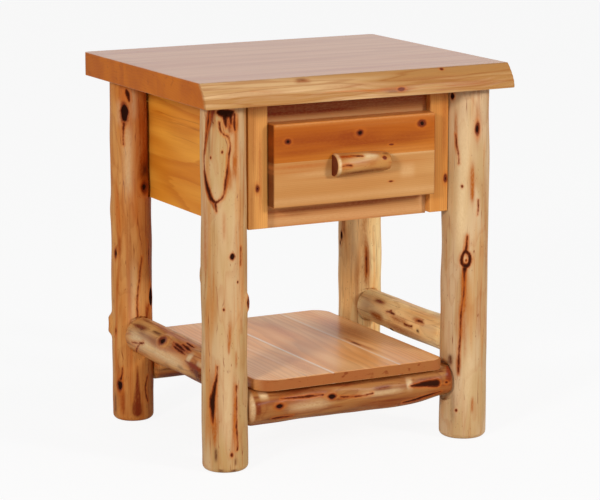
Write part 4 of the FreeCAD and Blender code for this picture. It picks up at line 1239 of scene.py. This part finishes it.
# Round corners in plan at a board's two ends, as settings: one side draws in over the last stretch
def roundedEnds(side, half, lowRadius, highRadius):
    def inset(along, thick):
        radius = np.where(along + half < half - along, lowRadius, highRadius)
        left = np.clip(np.minimum(along + half, half - along), 0, radius)
        return -(radius - np.sqrt(np.maximum(radius**2 - (radius - left) ** 2, 0)))

    steps = 1 - np.cos(np.radians(np.arange(0, 91, 6)))
    return {side: inset, "stations": np.concatenate([lowRadius * steps - half, half - highRadius * steps])}


edgeMarks = {
    "knots": ((69, 631, 3, 6, 0, 0, 0), (157, 657, 2, 4, 0, 0, 0.3)),
    "streaks": (
        (-110, 654, 3, 14, 0.9), (60, 631, 5, 34, 0.6), (-200, 640, 4, 60, 0.3), (200, 632, 5, 50, 0.5),
        (-20, 642, 3, 60, 0.4), (120, 645, 3, 70, 0.4),
    ),
    "stains": ((60, 628, 2.5, 20, 0.5), (-112, 656, 2, 8, 0.5)),
}

topBoards = {
    "top_board_front": {"glued": (False, True), "cell": 1.9 * mm, "lowSide": liveEdge, "fieldsOf": edgeSkin},
    "top_board_middle_front": {"glued": (True, True)},
    "top_board_middle_rear": {"glued": (True, True)},
    "top_board_rear": {
        "glued": (True, False),
        **roundedEnds("highSide", topShape["halfWidth"], *[topShape["cornerRadius"]] * 2),
    },
}


def makeTop():
    edges = (topShape["front"], *topShape["joints"], topShape["rear"])
    half = topShape["halfWidth"]
    for number, (name, own) in enumerate(topBoards.items()):
        box = ((-half, edges[number], topShape["low"]), (half, edges[number + 1], topShape["high"]))
        spec = {"axes": "xyz", "box": box, "look": "topBoards", "ease": 1.5 * mm, "seed": number + 1, **own}
        settle(makeBoard(name + "_plank", spec), name, "frame")


shelfShape = {
    "low": 132 * mm,
    "high": 151 * mm,
    "edges": (-186 * mm, -96 * mm, -45.6 * mm, 84 * mm, 174 * mm),
    "halfDepth": 224 * mm,
    "cornerRadius": 32 * mm,
    "smallRadius": 20 * mm,
    "cornerSkin": 1.6 * mm,
}
glueLine = {"halfWidth": 2.2, "halfHeight": 400, "strengths": (0.15, 1.0, 0.6)}
shelfMarks = (
    {},
    {"streaks": ((-150, -70, 20, 60, 0.5),)},
    {"streaks": ((100, 20, 20, 70, 0.5),)},
    {"knots": ((-54, 92, 3, 16, 0, 0, 0),), "streaks": ((-60, 94, 5, 60, 0.9), (60, 130, 30, 100, 0.6))},
)


# End grain runs round the shelf's corners on its outer side
def cornerGrain(fields, along, width, thick, lowSide, highSide):
    left = np.minimum(along + shelfShape["halfDepth"], shelfShape["halfDepth"] - along)
    outside = np.minimum(width - lowSide, highSide - width) < shelfShape["cornerSkin"]
    turned = np.clip(1.2 - left / shelfShape["cornerRadius"], 0, 1) * outside
    fields["end"] = np.maximum(fields["end"], turned)


# The lights of a shelf board are pale lines along its glued joints
def makeShelf():
    edges, half, wide = shelfShape["edges"], shelfShape["halfDepth"], shelfShape["cornerRadius"]
    glueSize = (glueLine["halfWidth"], glueLine["halfHeight"])
    glue = [(0, at / mm, *glueSize, strength) for at, strength in zip(edges[1:-1], glueLine["strengths"])]
    for number, own in enumerate(shelfMarks):
        box = ((edges[number], -half, shelfShape["low"]), (edges[number + 1], half, shelfShape["high"]))
        spec = {"axes": "yxz", "box": box, "look": "shelfBoards", "ease": 1.5 * mm, "seed": 11 + number}
        spec.update(own, lights=glue[max(number - 1, 0):number + 1], glued=(number > 0, number < 3))
        if number in (0, 3):
            side, nearRadius = ("highSide", shelfShape["smallRadius"]) if number else ("lowSide", wide)
            spec.update(roundedEnds(side, half, nearRadius, wide), fieldsOf=cornerGrain)
        name = f"shelf_board_{number + 1}"
        settle(makeBoard(name + "_plank", spec), name, "frame")


stile = {"axes": "zxy", "look": "stileBoards", "ease": 1 * mm, "cell": 2 * mm}
crossRail = {"axes": "xzy", "look": "railBoards", "ease": 1 * mm, "cell": 2.5 * mm}
drawerFront = {"axes": "xzy", "ease": 3 * mm, "cell": 1.6 * mm}
frameBoards = {
    "stile_left": {
        **stile,
        "box": ((-192, -197, 405.5), (-156, -165, 619)),
        "seed": 21, "knots": ((474, -175, 4, 6.5, 0, 0, 0.4),),
        # The last streak, a dark band at the top under the slab, is painted shadow of the slab
        "streaks": (
            (500, -170, 4, 70, 0.5), (560, -182, 5, 50, 0.4), (440, -186, 4, 40, 0.4),
            (619, -174, 40, 14, 0.7),
        ),
    },
    "stile_right": {
        **stile,
        "box": ((156, -197, 405.5), (192, -165, 619)),
        "seed": 24, "knots": ((462, 187, 4, 8, 0, 0, 0.3),),
        # The last streak, a dark band at the top under the slab, is painted shadow of the slab
        "streaks": ((560, 184, 5, 60, 0.5), (500, 166, 4, 70, 0.4), (619, 174, 40, 14, 0.7)),
    },
    "bottom_frame_rail": {
        **crossRail,
        "box": ((-156, -183, 402.5), (156, -165, 449)),
        "seed": 27,
        "streaks": ((-40, 429, 4, 130, 0.7), (80, 433, 3, 90, 0.6), (-110, 421, 2, 40, 0.4)),
        # Painted light: a pale band low on the rail, out of the drawer front's shadow, and a pale patch by
        # the right stile
        "lights": ((0, 412, 7, 400, 0.6), (150, 426, 12, 7, 0.8)),
    },
    "top_frame_rail": {
        **crossRail,
        "box": ((-156, -183, 574), (156, -165, 619)),
        "seed": 30,
        # The wide streak at 606 mm and the stain along the top are painted shadow of the slab, and the pale
        # light above the drawer front is a painted lit strip below that shadow
        "streaks": ((0, 606, 14, 400, 0.9), (-80, 594, 4, 90, 0.6)),
        "stains": ((0, 614, 7, 400, 0.3),), "lights": ((0, 583, 4, 400, 0.7),),
    },
    "drawer_front_lower": {
        **drawerFront,
        "box": ((-154.5, -217, 441), (154.5, -183.5, 517)),
        "look": "lowerFront", "glued": (False, True), "seed": 33, "knots": ((68, 470, 1.6, 4.5, 0, 0, 0),),
        # The last streak, along the bottom edge, is painted shade
        "streaks": (
            (-110, 509, 4, 60, 0.8), (-120, 500, 2, 46, 0.5), (60, 503, 2, 90, 0.35),
            (-20, 486, 2, 120, 0.25), (0, 441, 2, 400, 0.3),
        ),
        # The last light, a pale band just above the bottom edge, is a painted highlight
        "lights": (
            (90, 516, 2, 80, 0.6), (100, 486, 10, 14, 0.6), (-30, 494, 5, 90, 0.35), (0, 452, 6, 400, 0.3),
        ),
    },
    "drawer_front_upper": {
        **drawerFront,
        "box": ((-154.5, -217, 517), (154.5, -183.5, 582)),
        "look": "upperFront", "glued": (True, False), "seed": 36,
        "knots": (
            (-128, 552, 4.6, 6, 0, 0, 0.4), (8, 557, 5.6, 7, 0, 0, 0.55), (128, 565, 6.5, 8, 0, 0, 0.4),
            (69, 533, 1.6, 5, 0, 0, 0),
        ),
        "streaks": (
            (-60, 552, 12, 110, 0.8), (-10, 555, 5, 18, 0.7), (50, 540, 8, 90, 0.6), (-100, 532, 5, 60, 0.5),
            (110, 548, 6, 40, 0.4),
        ),
        # The first light, a pale band along the rounded top edge, is a painted highlight
        "lights": (
            (0, 581, 5, 400, 0.8), (60, 570, 4, 90, 0.2), (90, 518, 2, 80, 0.6), (60, 524, 5, 110, 0.3),
        ),
    },
}


def makeFrameBoards():
    for name, spec in frameBoards.items():
        body, slotName = ("drawer", "drawer_front") if name.startswith("drawer") else ("frame", "face_frame")
        piece = makeBoard(name + "_board", {**spec, "box": np.array(spec["box"]) * mm})
        settle(piece, name, body)


makeTop()
makeShelf()
makeFrameBoards()
print("boards planed")


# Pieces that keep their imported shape

nodeFinishes = {
    "case_panels": "sidePanel",
    "drawer_box": "boxBoards",
    "inner_blocks": "boxBoards",
    "dowels": "crossBoards",
    "slide_steel": "slideZinc",
    "slide_balls": "polishedBalls",
    "screws": "yellowZinc",
}
crossNodes = ("back_panel", "drawer_box_front", "drawer_box_back")


def finishNodes():
    finishes = {**woods, **steels}
    for part in frame["record"]["subparts"]:
        node = frame["nodes"][part["node"]]
        if node.hide_render:
            continue
        slotName = part["material_slot"]
        finish = "crossBoards" if part["node"] in crossNodes else nodeFinishes[slotName]
        node.data.materials.clear()
        node.data.materials.append(finishes[finish])


finishNodes()
print("packed pieces finished")
